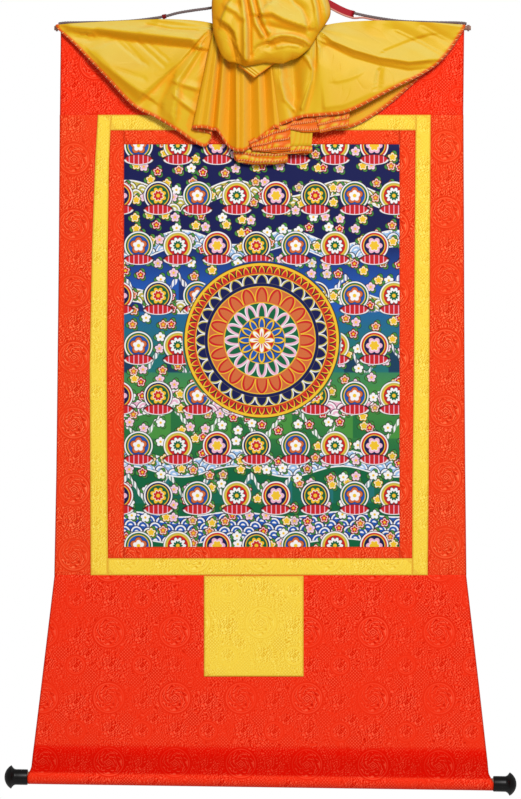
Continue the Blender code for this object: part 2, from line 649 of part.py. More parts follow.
def frame_strips(yellow, red):
    left, right, top, bottom = PAINTING
    strip("band_left", "band_left", "inner_left", TOP_SEAM, BOTTOM_SEAM, yellow)
    strip("band_right", "inner_right", "band_right", TOP_SEAM, BOTTOM_SEAM, yellow)
    strip("band_top", "inner_left", "inner_right", *BAND_TOP, yellow)
    strip("band_bottom", "inner_left", "inner_right", *BAND_BOTTOM, yellow)
    strip("inner_left", "inner_left", left, BAND_TOP[1], BAND_BOTTOM[0], red)
    strip("inner_right", right, "inner_right", BAND_TOP[1], BAND_BOTTOM[0], red)
    strip("inner_top", left, right, BAND_TOP[1], top, red)
    strip("inner_bottom", left, right, bottom, BAND_BOTTOM[0], red)


def painting(finish):
    left, right, top, bottom = PAINTING
    strip("painting", left, right, top, bottom, finish)


def door_patch(finish):
    flat_piece("door_patch", DOOR_PATCH, finish, out=CLOTH + SEAM)


def build():
    for old in list(bpy.data.objects):
        bpy.data.objects.remove(old, do_unlink=True)
    red = material("red_brocade", (0.83, 0.05, 0.02), 0.55)
    yellow = material("yellow_brocade", (0.93, 0.66, 0.08), 0.5)
    silk = material("yellow_silk", (0.9, 0.55, 0.03), 0.35)
    canvas = material("painted_cloth", (0.12, 0.2, 0.35), 0.7)
    wood = material("rod_wood", (0.45, 0.24, 0.15), 0.6)
    black = material("black_lacquer", (0.012, 0.011, 0.011), 0.3)
    grey = material("cord_grey", (0.1, 0.07, 0.07), 0.8)
    crimson = material("crimson", (0.45, 0.01, 0.04), 0.6)
    brocade_panels(red)
    frame_strips(yellow, red)
    painting(canvas)
    door_patch(yellow)
    top_rod = bar("top_rod", ROD_ENDS, ROD_RADIUS, wood)
    top_rod.location = point(0, 0, 0)
    roller_and_knobs(wood, black)
    veil(silk)
    hanging_cord(grey)
    lashing("rod_tie_left", ROD_ENDS[0], -1, grey)
    lashing("rod_tie_right", ROD_ENDS[1], 1, grey)
    thread_tie("tie_left", TIE_LEFT_ACROSS, crimson)
    thread_tie("tie_right", TIE_RIGHT_ACROSS, crimson)
    ribbon(crimson)


build()
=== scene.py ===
"""The looks of the thangka scroll painting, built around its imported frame.

Metres, +Z up, the painted front facing -Y, the origin at the hanging point. Tables give millimetres: across
is to the right of the centre line, down is below the top rod's axis, and out is in front of the middle of
the flat cloth.
"""

from collections import namedtuple
from functools import partialmethod
from math import asin, cos, hypot, pi, radians, sin, sqrt

import bpy
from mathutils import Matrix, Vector


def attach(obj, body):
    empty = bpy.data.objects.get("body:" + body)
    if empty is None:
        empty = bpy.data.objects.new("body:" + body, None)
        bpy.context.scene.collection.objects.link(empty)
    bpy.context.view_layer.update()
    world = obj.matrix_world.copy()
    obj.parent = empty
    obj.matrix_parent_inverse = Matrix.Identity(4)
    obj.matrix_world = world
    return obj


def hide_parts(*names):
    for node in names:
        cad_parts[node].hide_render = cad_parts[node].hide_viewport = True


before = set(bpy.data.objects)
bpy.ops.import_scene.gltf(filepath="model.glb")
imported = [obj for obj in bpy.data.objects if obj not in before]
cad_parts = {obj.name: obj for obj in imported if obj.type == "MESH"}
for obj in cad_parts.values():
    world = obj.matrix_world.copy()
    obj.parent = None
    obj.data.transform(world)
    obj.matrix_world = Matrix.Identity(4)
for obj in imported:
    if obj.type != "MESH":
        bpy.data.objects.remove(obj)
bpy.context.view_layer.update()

MM = 0.001
ROD_BELOW_NAIL = 0.074
BODY = "root"
UV_NAME = "cloth"
HEM_MAP = "hem"
FOLD_MAP = "fold"

# The cloth, its grids and turned edges, and the top rod in its hem, in millimetres
BROCADE_THICK = 0.9
SILK_THICK = 0.5
SEAM_LAP = 0.25
EDGE_TURN = 1.4
EDGE_DEPTH = 0.6
GRID = 6.0
PANEL_GRID = 9.0
ROD_RADIUS = 2.5
ROD_ENDS = (-231.5, 235.0)
HEM_RADIUS = 3.4
HEM_TURN = (30, 331)
HEM_TAIL = [(-1.5, 16.0), (-1.5, 10.0), (-1.5, 6.0)]
HEM_FRONT = [(0.35, 6.0), (0.0, 9.5)]
HEM_FRONT_TO = 14.0

# The roller and its knobs, in millimetres, but for the tilt in radians and the weld in metres
DOWEL_RADIUS = 6.25
SLEEVE_RADIUS = 7.15
ROLLER_DOWN = 843.9
ROLLER_OUT = -9.0
ROLLER_TILT = 0.0143
SLEEVE_ENDS = (-261.8, 260.6)
KNOB_GAP = 0.3
KNOB_SIDES = 64
KNOB_WELD = 0.00001
KNOB_SOCKET = 10.0
KNOB_LENGTH = 26.0
KNOB_NECK_LENGTH = 13.2
KNOB_NECK_RADIUS = 8.7
KNOB_RIM_AT = 18.6
KNOB_RIM_RADIUS = 13.0
KNOB_ROUNDING = 0.7
KNOB_RIM_FORM = [(-0.3, 0.12), (0, 0), (0.35, 0.15)]

# The mount's seams, the bottom panel's bend to the crease above the roller, and where each red cut has a
# roundel's middle, across and down
TOP_SEAM = 97.4
BOTTOM_SEAM = 612.5
CREASE_DOWN = 837.6
SAG_FROM = 700.0
BEND_FROM = 806.0
BEND = [(0, 0), (0, 0), (0.12, -0.22), (0.25, -0.3), (0.42, -0.1), (0.6, 0.26), (0.78, 0.66), (1.0, 1.0)]
SLEEVE_TURN = (48, 376)
TOP_FIGURE = (36.0, 40.0)
LEFT_FIGURE = (-209.4, 368.5)
RIGHT_FIGURE = (206.8, 354.8)
PANEL_FIGURE = (51.5, 676.5)
PAINTING_LAP = 1.2
PAINTING_LIFT = -0.3
BAND_LIFT = 0.4
PATCH_LIFT = 1.1

# The hanging cloth's waves: where they start and stop, where they grow, how high they are above and below
# that, and the lengths of each
WAVES_FROM = (4, 60)
WAVES_TO = (BEND_FROM - 30, BEND_FROM + 12)
WAVES_GROW = (540, 700)
WAVES_ABOVE = 0.3
WAVES_BELOW = 0.8
Wave = namedtuple("Wave", "height across down start")
WAVES = [Wave(1.0, 57, 190, 1.3), Wave(0.45, 24, -85, 0.4)]

# How far across the mount's upright edges run at each height, and the panel's below them
Edges = namedtuple("Edges", "down cloth_left band_left inner_left inner_right band_right cloth_right")
EDGES = [
    Edges(-4.0, -224.0, -182.5, -168.0, 173.5, 189.8, 227.4),
    Edges(TOP_SEAM, -225.0, -182.5, -168.0, 173.5, 189.8, 226.3),
    Edges(147.0, -225.3, -185.4, -170.5, 173.2, 189.5, 226.5),
    Edges(247.0, -226.0, -189.0, -172.0, 172.3, 189.0, 227.0),
    Edges(377.0, -227.4, -191.5, -173.0, 171.5, 188.3, 227.5),
    Edges(497.0, -228.8, -191.0, -172.5, 170.0, 187.5, 228.3),
    Edges(BOTTOM_SEAM, -231.0, -190.4, -171.5, 169.5, 186.5, 229.6),
]
Flare = namedtuple("Flare", "down cloth_left cloth_right")
FLARES = [
    Flare(BOTTOM_SEAM, EDGES[-1].cloth_left, EDGES[-1].cloth_right),
    Flare(832.0, -257.3, 255.0),
    Flare(842.0, *SLEEVE_ENDS),
]

# The yellow strips' upper and lower edges, and the left, right, upper and lower ones of the painted cloth
# and the patch
BAND_TOP = (TOP_SEAM, 114.2)
BAND_BOTTOM = (594.0, BOTTOM_SEAM)
PAINTING = (-153.4, 155.1, 130.3, 581.0)
DOOR_PATCH = (-63.8, 47.6, 613.4, 726.1)

# The veil's folds, close to the part's: each row is the line of one ridge, trough or fold edge, from its
# place (across, down, out) at the gather, gx gd go, to that at the hem, hx hd ho, with a bow midway, bx bd
# bo. Its steps lead to the next row, and each step has FINER columns
Fold = namedtuple("Fold", "name steps gx gd go hx hd ho bx bd bo", defaults=(0, 0, 0))
FOLD_ROWS = [
    ("left top edge", 2, -50, -2, 8, -228.8, -3, 5, 0, -6.6),
    ("left corner", 3, -54.4, 1.6, 8.1, -227.6, 1.5, 5.2, 0, -4.4, 1.5),
    ("left wing upper", 4, -54.2, 2.4, 8.2, -208.8, 18.8, 7.5, 0, -2.2, 3.5),
    ("left wing middle", 4, -54, 3.2, 8.4, -173.6, 56, 9.4, 0, 0, 4.6),
    ("left wing belly", 3, -53.6, 3.8, 8.6, -143.7, 87.4, 10.8, 0, 0, 5),
    ("left wing lower", 3, -53.2, 4.2, 8.8, -115.9, 102.4, 10.8, 0, 0, 4.4),
    ("left tail ridge", 2, -52.6, 4.8, 9, -91.8, 117.3, 9.4, 0, 0, 3),
    ("left tail", 2, -52, 5.2, 9, -76, 128, 8, 0, 0, 1),
    ("left tip", 2, -51.2, 5.6, 9.2, -62, 133.1, 6),
    ("left turn", 2, -50.2, 5.8, 10.4, -55.5, 120, 8),
    ("left under layer", 2, -52.6, 6, 11.8, -73, 115.8, 11.2),
    ("front fold edge", 2, -53.8, 6.2, 13.6, -76.4, 113.4, 14.2),
    ("ridge 1", 2, -52.2, 6.2, 15.6, -70.6, 113.8, 17.2),
    ("trough 1", 2, -50.2, 6.2, 14.4, -67, 113.4, 15.2),
    ("ridge 2", 2, -46.9, 6.2, 15.8, -60.8, 114, 18),
    ("trough 2", 3, -43.4, 6.2, 13, -54.4, 115.8, 10.5, 0, 0, -1),
    ("ridge 3", 3, -39, 6.4, 16, -48.2, 117.6, 17, 0, 0, 1),
    ("trough 3", 3, -33.6, 6.6, 12.6, -37, 133.3, 8, 0, 0, -1),
    ("ridge 4", 3, -28, 6.8, 16, -27, 139.4, 17, 0, 0, 1),
    ("trough 4", 3, -24, 6.8, 14.6, -24, 139, 15.4, 0, 0, 0.8),
    ("ridge 5", 3, -19.4, 7, 15.8, -19.8, 139.6, 16.7, 0, 0, 1),
    ("trough 5", 3, -12, 7, 12.6, -11, 134, 10.6, 0, 0, -0.8),
    ("ridge 6", 3, -4.5, 7, 15.8, -0.8, 124.9, 16.5, 0, 0, 1),
    ("trough 6", 3, 1.2, 7, 12.8, 7, 119.4, 11.2, 0, 0, -0.6),
    ("ridge 7", 3, 8, 7, 15.8, 15.6, 113.2, 16.5, 0, 0, 1.5),
    ("middle turn", 2, 12.4, 7.2, 13.6, 22.6, 119, 12.6),
    ("middle right", 2, 10, 7.4, 11.2, 18, 138.6, 9),
    ("middle", 2, -4, 7.4, 10.4, -5, 141.2, 8.2),
    ("middle left", 2, -19, 7.4, 10.4, -26.5, 139, 8.2),
    ("rear turn", 2, -21.4, 7.4, 9, -30, 146, 6.6),
    ("rear left", 2, -19, 7.4, 7.6, -24, 150.8, 5),
    ("rear", 2, -4, 7.4, 7.2, -4, 153.4, 4.6),
    ("rear right", 2, 12, 7.4, 7.2, 27.5, 151.6, 4.6),
    ("rear tier", 2, 17, 7.4, 7.2, 31.5, 141.5, 4.4),
    ("rear hem", 1, 26, 7.4, 7.2, 54.3, 140.6, 4.2),
    ("rear step", 2, 30, 7.4, 7.2, 56.5, 118.5, 4.2),
    ("rear wing lower", 2, 44, 7.2, 7, 100, 111.9, 4.2),
    ("rear wing middle", 2, 56, 6.4, 7, 136.3, 91.3, 4),
    ("rear wing upper", 3, 60, 5.8, 7, 174, 59, 3.9, 0, 0, 0.2),
    ("right turn", 3, 61.6, 5.6, 8.4, 189.5, 41.5, 6.3, 0, 0, 0.4),
    ("right under upper", 2, 60.2, 5.8, 10, 172, 48, 8.9, 0, 0, 0.2),
    ("right under layer", 2, 56, 6.4, 10.2, 132, 71, 8, 0, 0, 0.2),
    ("right under lower", 2, 38, 7, 10.6, 66, 93, 8.4, 0, 0, 0.2),
    ("right under edge", 2, 9, 7.2, 12.4, 20, 111, 12.2, -1, 0, 0.4),
    ("ridge 8", 3, 15, 7.2, 15.8, 30.6, 107, 17, -5.5, 0, 2.5),
    ("pocket", 3, 31, 7.2, 14, 37.2, 104.4, 13.5, 1, 0, -1.6),
    ("ridge 9", 3, 50.5, 6.8, 15.4, 43.6, 102.6, 17.6, 5, 0, 2.6),
    ("pocket edge", 3, 57.5, 6.6, 14.2, 50.6, 101, 15.6, 5, 0, 0.6),
    ("right front lower", 4, 61.6, 6.2, 15, 69.4, 99.7, 18, 0.6, 0, 1.6),
    ("right front belly", 4, 63.4, 5.6, 14.6, 99.2, 95, 18.5, 0, 0, 1),
    ("right front middle", 6, 64.4, 4.8, 14, 147.5, 69.9, 16, 0, 0, 1.6),
    ("right front upper", 6, 65, 4, 13, 184.6, 50.4, 12, 0, 0, 2.2),
    ("right wing fold", 8, 65.2, 3.2, 11.8, 205, 33.6, 8.5, 0, -2.2, 3),
    ("right corner", 4, 65.2, 2.4, 10.8, 224.5, 6, 5.6, 0, -4.8, 1),
    ("right top edge", 1, 65, 1.8, 10, 229, -3, 5, 0, -7.2),
]
FOLDS = [Fold(*row) for row in FOLD_ROWS]
BOW_SKEW = 0.6
FINER = 3
FAN_ROWS = 75
PUCKER_REACH = 9.0
PUCKER_HEIGHT = 0.8
PUCKER_SPARE = 0.4
Uneven = namedtuple("Uneven", "length sway sway_length")
PUCKER_SHORT = Uneven(1.25, 0.8, 7.0)
PUCKER_LONG = 3.1
PUCKER_LONG_START = 1.7
PUCKER_SHARES = (0.6, 0.5)
PLEAT_SHARPNESS = 1.15

# The stitches over the veil's hem
STITCH_PITCH = 1.8
STITCH_DEPTH = 2.4
STITCH_RADIUS = 0.32
STITCH_SIDES = 5
STITCH_OFF = 0.45
STITCH_LEAN = 0.45
STITCH_CROWN_AT = 0.4
STITCH_CROWN = 1.15
PALE_EVERY = 4

# The doubled hem's bands below the skirt: how far out each one's top is, how much further its foot leans,
# how deep it is crumpled, its rows of stitches, how far off the hem its hollows count for their colour,
# where the hem's orange lays painted shade, how much further its puffs do, and its two lines of (across,
# down)
Band = namedtuple("Band", "name out lean crumple rows near spread top bottom")
HEM_BANDS = [
    Band("rolled_end", 14, 0.5, 0.5, 3, 1.6, 3.2,
         [(60, 98), (80, 93), (99.7, 88)], [(66, 118.4), (82, 115), (97.4, 112)]),
    Band("under_roll", 12, 1, 0.3, 2, 0.4, 3.0,
         [(20, 109), (42, 103), (62, 98)], [(25.8, 113), (46, 118), (66, 117.6)]),
    Band("crumpled", 13, 0.5, 0.7, 3, 1.0, 3.6,
         [(-14, 128), (6, 116), (33, 106)], [(-9, 139), (12, 139.5), (33, 138.5)]),
    Band("patch", 10.6, 0.4, 0.45, 0, 4.0, 2.4,
         [(28, 108), (58, 110)], [(28, 134), (56.5, 133)]),
    Band("patch_hem", 11.2, 0.6, 0.6, 1, 1.6, 4.6,
         [(10, 132), (34, 133), (57, 132)], [(11, 141), (34, 141.5), (57.5, 140.5)]),
    Band("low_tier", 9.8, 0, 0.7, 2, 2.2, 4.6,
         [(-32, 135), (0, 138), (30, 138)], [(-26, 151), (0, 153.5), (29, 151.5)]),
]
BAND_COLUMNS = 72
ROLL_ROWS = 6
ROLL_HEIGHT = 1.2
ROLL_PUCKER = 0.9
ROLL_PUCKER_WAVE = Uneven(2.3, 2.2, 8.0)
ROLL_PUCKER_TURN = 2.5
ROLL_SUNK = 0.8
ROLL_SLIP = 1.3
ROLL_SLIP_LENGTH = 11.0
ROLL_SLIP_SHARE = 0.16
ROLL_SWAY = 0.6
ROLL_SWAY_LENGTH = 3.7
ROLL_SHADE_DEPTH = 2.6
ROLL_STITCH_HALF = 1.1
ROLL_STITCH_SLANT = 0.5
ROLL_STITCH_CROWN = 1.5

# The tongue: the corner of silk under the lip, with its corner and tip as (across, down)
TONGUE_GRID = (60, 32)
TONGUE_TOP = 36.0
TONGUE_TOP_ENDS = (-20.0, 24.0)
TONGUE_CORNER = (-24.6, 45.7)
TONGUE_TIP = (-7.9, 58.4)
TONGUE_TIP_WIDTH = 0.6
TONGUE_OUT = 24.0
TONGUE_BELLY = 1.4
TONGUE_PLEAT = 2.9
TONGUE_PLEAT_HEIGHT = 0.9
TONGUE_PLEATED = 8.7
TONGUE_SHADE_DEPTH = 2.4
TONGUE_EDGE_NEAR = 2.8

# How far off the mount the veil stays, the side toward the light for its painted highlight and shade, how
# deep its folds are reckoned for their painted shade, and which folds the puff rises from
VEIL_OFF_HEM = 4.9
VEIL_OFF_PANEL = 3.4
OFF_HEM_TO = 3.0
OFF_PANEL_FROM = 10.0
LIT_SIDE = Vector((0.5, 0.0, 0.87))
DEPTH_CELL = 2.0
DEPTH_REACH = 3
DEPTH_FALL = 0.35
FAR_OFF_HEM = 100.0
FLAP_FROM = "front fold edge"
FLAP_TO = "ridge 7"

# Creases in the wings, the pocket and the puff: sharp along each line, a ridge where rise is above 0 and a
# valley where it is below, and falling off over the widths to the left and right of it, as one walks along
# the line
CREASE_FADE_IN = 5.0
CREASE_FADE_OUT = 6.0
CREASE_AT_HEM = 0.4
CREASE_CURVE = 1.4
Crease = namedtuple("Crease", "name rise left right line")
CREASE_ROWS = {
    "left": [
        ("top band ridge", 4.6, 15, 9, [(-214, -0.6), (-140, 7.2), (-77, 14.9)]),
        ("top band valley", -6.6, 9, 34, [(-183, 9), (-137, 16.8), (-78, 23.5)]),
        ("top band fold", 1.0, 5, 5, [(-113, -7), (-120, 1), (-134, 5)]),
        ("light panel foot", 5.4, 34, 15, [(-180, 38), (-158, 56), (-135.5, 72)]),
        ("long crease", -4.6, 24, 2.2, [(-62, 8), (-88.5, 39.2), (-124.9, 73.2), (-138, 88)]),
        ("bright stripe", 5.0, 5, 20, [(-68, 22), (-93.4, 62), (-98, 106)]),
        ("stripe side", -2.6, 4, 14, [(-98, 56), (-112, 84), (-113, 100)]),
        ("tail fold", 2.2, 9, 4, [(-94, 62.7), (-71.7, 69.4)]),
        ("low tail fold", 2.4, 9, 4, [(-94, 80), (-73.9, 95.2)]),
        ("fine crease 1", -1.1, 2.0, 3.4, [(-158.4, 17.5), (-133, 39)]),
        ("fine crease 2", -0.8, 1.8, 2.6, [(-152, 16.8), (-126.6, 42.6)]),
        ("fine crease 3", -1.3, 2.0, 3.6, [(-139, 14.6), (-107.5, 43.7)]),
        ("fine crease 4", -0.9, 1.8, 2.8, [(-126.6, 16.8), (-104, 37)]),
        ("fine crease 5", -0.9, 3.0, 4.5, [(-164.6, 47), (-130, 58)]),
        ("corner crease 1", -1.6, 3, 5, [(-206, 12), (-190, 14), (-170, 9)]),
        ("corner crease 2", -1.4, 3, 4, [(-196, 22), (-178, 18), (-163, 12)]),
        ("top fold 1", -1.6, 2.6, 5, [(-128, -3), (-100, 2.6), (-72, 4.0)]),
        ("top fold 2", 1.5, 2.6, 4, [(-118, -9), (-92, -5.5), (-66, -1.5)]),
    ],
    "right": [
        ("curved ridge", 4.3, 22, 4.6, [
            (65.6, 4.5), (79.3, 16.7), (103.4, 26.9), (130.8, 34.7), (165, 39.8), (204.5, 35.5)]),
        ("curved valley", -2.7, 4.6, 24, [(74, 21), (103, 35), (131, 43), (165, 49), (198, 46)]),
        ("bright crossing", 1.3, 1.8, 1.8, [(151, 4), (178, 16.5), (205, 32.4)]),
        ("crossing hollow", -2.0, 11, 13, [(147, 2), (178, 16.5), (208, 34)]),
        ("outer crossing", 1.2, 1.8, 1.8, [(180, -0.8), (198, 9), (216, 18.6)]),
        ("outer hollow", -1.5, 9, 7, [(178, -2), (198, 9), (217, 19)]),
        ("crossing valley", -1.6, 3, 12, [(138, 28), (166, 16), (189, 9)]),
        ("top ridge", 3.0, 4, 20, [(130, -8), (184, -6), (226, 0)]),
        ("dark spot", -2.4, 6, 3.2, [(132, 49), (130, 60), (129, 71)]),
        ("small ridge", 1.0, 10, 4, [(84, 61.5), (96, 59), (109, 54)]),
        ("belly", 1.8, 32, 12, [(40, 95), (92, 88), (150, 64)]),
        ("pocket side", 2.2, 4, 9, [(63, 24), (60, 58), (50, 88)]),
    ],
    "pocket": [
        ("pocket left rim", 2.4, 2.4, 4, [
            (21, 30), (21.5, 48), (22.6, 66), (26.5, 81.5), (37, 93)]),
        ("pocket right rim", 2.4, 4, 2.4, [
            (47, 32), (53, 40), (57, 49), (55.5, 61), (50, 78), (45, 92)]),
        ("pocket hollow", -1.8, 9, 9, [(36, 44), (38, 62), (40, 80)]),
    ],
    "puff": [
        ("bunch side", 5.0, 12, 2.5, [(-29, -33), (-37, -20), (-44.1, -3.5)]),
        ("overlap", 5.6, 26, 1.8, [
            (-44.1, -3.5), (-35.8, 2.1), (-29.3, 9.5), (-27.4, 20.6), (-23.7, 31.8), (-18, 41)]),
        ("left pocket", -3.6, 3, 12, [(-42, 3), (-33, 12), (-31, 24), (-28, 36)]),
        ("left panel top", 4.0, 8, 5, [(-38.6, -19.3), (-27, -13), (-22, -6)]),
        ("main ridge", 5.4, 6, 5, [(-22.5, -34), (-20.2, -18), (-18.1, -4.5), (-17.9, 40)]),
        ("first groove", -3.6, 4, 4, [(-17.5, -30), (-14, -12), (-12.5, 4), (-12, 34)]),
        ("second ridge", 4.6, 5, 4, [(-13.5, -34), (-9.8, -18), (-6, 0), (1, 13)]),
        ("second groove", -3.6, 4, 4, [(-8.5, -32), (-5, -17), (-1, 0), (5.9, 13.2)]),
        ("third ridge", 3.6, 4, 5, [(-5, -34), (-1.5, -20), (2.2, -3), (9, 9)]),
        ("facet left", 3.4, 14, 3, [(8.7, -21.2), (2.2, -14.6), (0.4, -10)]),
        ("facet foot", 5.6, 19, 4, [(0.4, -10), (12.3, -11), (24.6, -4.5), (41.2, 1.1), (51.5, 3.9)]),
        ("facet side", -3.4, 9, 2.5, [(36.6, -24), (45.9, -16.5), (50, -6), (51.5, 3.9)]),
        ("under facet", -3.4, 6, 9, [(6, 2), (24, 5.6), (46, 10.5)]),
        ("lower diagonal", -2.6, 2.4, 9, [(-13, 38), (-4.2, 25.3), (8.5, 20.6)]),
        ("roll", 5.0, 4.5, 2.4, [
            (8.7, 19.7), (15.2, 15.1), (23.5, 13.2), (35.7, 14.1), (46.8, 17.8), (53.3, 22.4)]),
        ("roll pocket", -4.0, 4, 9, [(11, 24), (24, 19.6), (44, 23.4)]),
        ("pocket glint", 2.2, 3, 3, [(18, 26), (30, 23.6), (40, 24.6)]),
        ("side roll", 3.4, 4, 3, [(56, -34), (60, -18), (62.7, 5.6)]),
        ("side groove", -3.4, 3, 3, [(60, -36), (64, -20), (66.5, 0)]),
        ("outer roll", 2.8, 3.5, 2.5, [(66, -34), (70.5, -18), (72, -3.4)]),
    ],
}
CREASES = {part: [Crease(*row) for row in rows] for part, rows in CREASE_ROWS.items()}

# The puff's stations, from the gather up the back, over the top, down the face and under its lip: its ends
# across, its middle's height, how far out its face and its sides are, and how much lower its sides hang
Station = namedtuple("Station", "name left right down face_out side_out side_drop")
STATIONS = [
    Station("gather", -54.0, 8.0, 6.0, 14.0, 14.0, 0.0),
    Station("neck", -51.5, 52.0, -10.0, 11.2, 11.2, 0.0),
    Station("back", -51.0, 65.0, -30.0, 10.5, 11.0, 0.0),
    Station("rise", -48.0, 60.0, -46.5, 12.6, 12.0, 2.5),
    Station("top", -46.5, 57.0, -54.5, 21.0, 16.5, 6.0),
    Station("brow", -48.5, 62.0, -48.0, 30.0, 21.0, 3.0),
    Station("upper face", -54.0, 73.0, -32.0, 35.0, 21.0, 0.0),
    Station("face", -54.5, 77.0, -12.0, 37.0, 20.5, 0.0),
    Station("lower face", -52.5, 64.5, 8.0, 38.0, 22.0, 0.0),
    Station("belly", -47.0, 55.0, 25.0, 37.0, 25.5, 0.0),
    Station("low belly", -41.5, 45.0, 35.5, 34.0, 27.0, 0.0),
    Station("lip", -35.0, 35.0, 40.5, 29.5, 26.0, 0.0),
    Station("under", -31.5, 31.0, 36.5, 25.6, 23.6, 0.0),
    Station("tucked end", -29.5, 29.0, 27.0, 23.0, 22.0, 0.0),
]
STATION_STEPS = 11
FRONT_STATIONS = (5, 10)
GATHER_BLEND = 0.10
EVEN_SHARE = 0.6
LIP_FROM = 8.0
LIP_FULL = 10.0

# The lip's dips: how much lower than its middle it runs at places across
Lip = namedtuple("Lip", "across lower")
LIP_DIPS = [(-48, 2.2), (-38, 0), (-29, 1.3), (-17, 5.4), (4, 1.5), (24.6, 2.6), (34, -2), (48, -2)]
LIP = [Lip(*dip) for dip in LIP_DIPS]

# The cord, its lashings and ties, and the ribbon, in millimetres
CORD_RADIUS = 1.65
CORD_SIDES = 18
CORD_STRANDS = 3
CORD_LAY = 9.0
STRAND_GROOVE = 0.34
LASHING_INSET = 1.2
LASHING_WIDTH = 3.3
LASHING_RADIUS = ROD_RADIUS + 0.2
LASHING_THREAD = 1.1
TIE_THREAD = 0.9
TIE_WIDTH = 5.0
TIE_END_RADIUS = 0.7
TIE_END_LEANS = (-1.0, -0.3, 0.5)
TIE_END_OUT = 0.3
TIE_END_STEP = (0.4, 0.2, 0.8)
TIE_END_POINTS = 6
TIE_END_SIDES = 6
THREAD_SIDES = 8
TURN_STEPS = 20
RIBBON_GRID = (60, 7)
RIBBON_THICK = 0.6
RIBBON_OFF_CORD = 0.8
RIBBON_WAVE = 0.35
RIBBON_WIDTH = 6.0
RIBBON_ABOVE = 1.9
RIBBON_EDGE_RADIUS = 1.1
RIBBON_EDGE_STEPS = 30
RIBBON_EDGE_SIDES = 10

# From lashing to lashing over the nail, as (across, down, out)
CORD_ROUTE = [
    (-226.9, -5.0, -1.5), (-219, -6.1, -1.5), (-200, -6.4, -1.5), (-170, -7.0, -1.5),
    (-145, -8.3, -1.2), (-124, -10.6, -0.8), (-107.5, -13.2, -0.2), (-93, -16.9, 0.5),
    (-75, -19.8, 1.2), (-56, -22.4, 2.0), (-43, -26.2, 2.0), (-31, -35, 1.5),
    (-20, -47.5, 0.8), (-11, -61, 0.2), (-5.5, -70, 0), (0, -72.4, 0),
    (7.5, -69.5, 0), (25, -58.5, 0.2), (50, -43.5, 0.8), (72.8, -31, 1.0),
    (95.2, -19.6, 0.4), (116, -14.2, -0.4), (136.6, -10.6, -1.0), (158, -7.9, -1.5),
    (189, -6.6, -1.5), (222, -6.1, -1.5), (230.3, -5.0, -1.5),
]
CORD_STEPS = 20
TIE_LEFT_ACROSS = -107.5
TIE_RIGHT_ACROSS = 103.0
RIBBON_ENDS = (TIE_RIGHT_ACROSS, 12.0)
RIBBON_EDGE_TO = 147.0


def point(across, down, out):
    """The place of a table's point."""
    return Vector((across * MM, -out * MM, -ROD_BELOW_NAIL - down * MM))


def spline(rows, steps):
    """A smooth curve through rows of numbers, with a given count of steps after each row but the last."""
    curve = []
    for i, count in enumerate(steps[: len(rows) - 1]):
        start, end = rows[i], rows[i + 1]
        before = rows[max(i - 1, 0)]
        after = rows[min(i + 2, len(rows) - 1)]
        for k in range(count):
            t = k / count
            place = []
            for a, b, c, d in zip(before, start, end, after):
                low_terms = 2 * b + (c - a) * t + (2 * a - 5 * b + 4 * c - d) * t**2
                place.append(0.5 * low_terms + 0.5 * (3 * b - a - 3 * c + d) * t**3)
            curve.append(place)
    curve.append(list(rows[-1]))
    return curve


def share_of(value, low, high):
    """How far a value is on its way from low to high, from 0 to 1."""
    return min(1.0, max(0.0, (value - low) / (high - low)))


def ease(value, low, high):
    """From 0 at low to 1 at high, smoothly."""
    share = share_of(value, low, high)
    return share * share * (3 - 2 * share)


def table_at(table, place, column):
    """A table's column at a place in its first one, straight between the rows."""
    for before, after in zip(table, table[1:]):
        if place <= after[0]:
            start, end = getattr(before, column), getattr(after, column)
            return start + share_of(place, before[0], after[0]) * (end - start)
    return getattr(table[-1], column)


# Making pieces


def linked(name, data):
    """An object in the scene with a mesh's, a light's or a camera's data."""
    made = bpy.data.objects.new(name, data)
    bpy.context.scene.collection.objects.link(made)
    return made


def light_tilt(normal):
    """How far a surface turns up and to the right, where the light is, from -1 to 1."""
    tilt = normal.dot(LIT_SIDE)
    return tilt if normal.y < 0 else -tilt


def mesh_piece(name, points, faces, flat_places=None, hem_places=None, depths=None):
    """A smooth mesh piece, with a map of where each point lay on the flat cloth, in millimetres.

    A second map has the place along the nearest hem or seam and the distance from it, for the hem's colour
    and the painted shade along seams. A third one has how deep each point lies in the folds and how far it
    turns to the light, for the painted shade and highlight in the silk's colour.
    """
    mesh = bpy.data.meshes.new(name)
    mesh.from_pydata([tuple(p) for p in points], [], faces)
    mesh.update()
    mesh.shade_smooth()
    fold_places = depths and [(depth, light_tilt(v.normal)) for depth, v in zip(depths, mesh.vertices)]
    for title, mapped in ((UV_NAME, flat_places), (HEM_MAP, hem_places), (FOLD_MAP, fold_places)):
        if mapped:
            layer = mesh.uv_layers.new(name=title)
            for loop in mesh.loops:
                u, v = mapped[loop.vertex_index]
                layer.data[loop.index].uv = (u * MM, v * MM)
    return linked(name, mesh)


def dress(piece, slot, finish, *nodes):
    """Gives a piece its finish, its body and the frame's nodes that it stands for."""
    piece.data.materials.append(finish)
    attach(piece, BODY)
    if nodes:
        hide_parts(*nodes)
    return piece


def thicken(piece, thickness):
    """Turns an open sheet into a closed one."""
    solidify = piece.modifiers.new("Thickness", "SOLIDIFY")
    solidify.thickness = thickness * MM
    solidify.offset = 0.0
    return piece


def grid_faces(columns, rows):
    """Faces of a grid whose points run down each column."""
    return [
        (i * rows + j, i * rows + j + 1, (i + 1) * rows + j + 1, (i + 1) * rows + j)
        for i in range(columns - 1)
        for j in range(rows - 1)
    ]


def lines_between(low, high, step=GRID):
    """Grid lines across a cut, with extra ones where its edges turn under."""
    turn = [EDGE_TURN * share for share in (0.0, 0.25, 0.6, 1.0)]
    inner_low, inner_high = low + EDGE_TURN, high - EDGE_TURN
    count = max(1, round((inner_high - inner_low) / step))
    inside = [inner_low + (inner_high - inner_low) * k / count for k in range(1, count)]
    return [low + t for t in turn] + inside + [high - t for t in reversed(turn)]


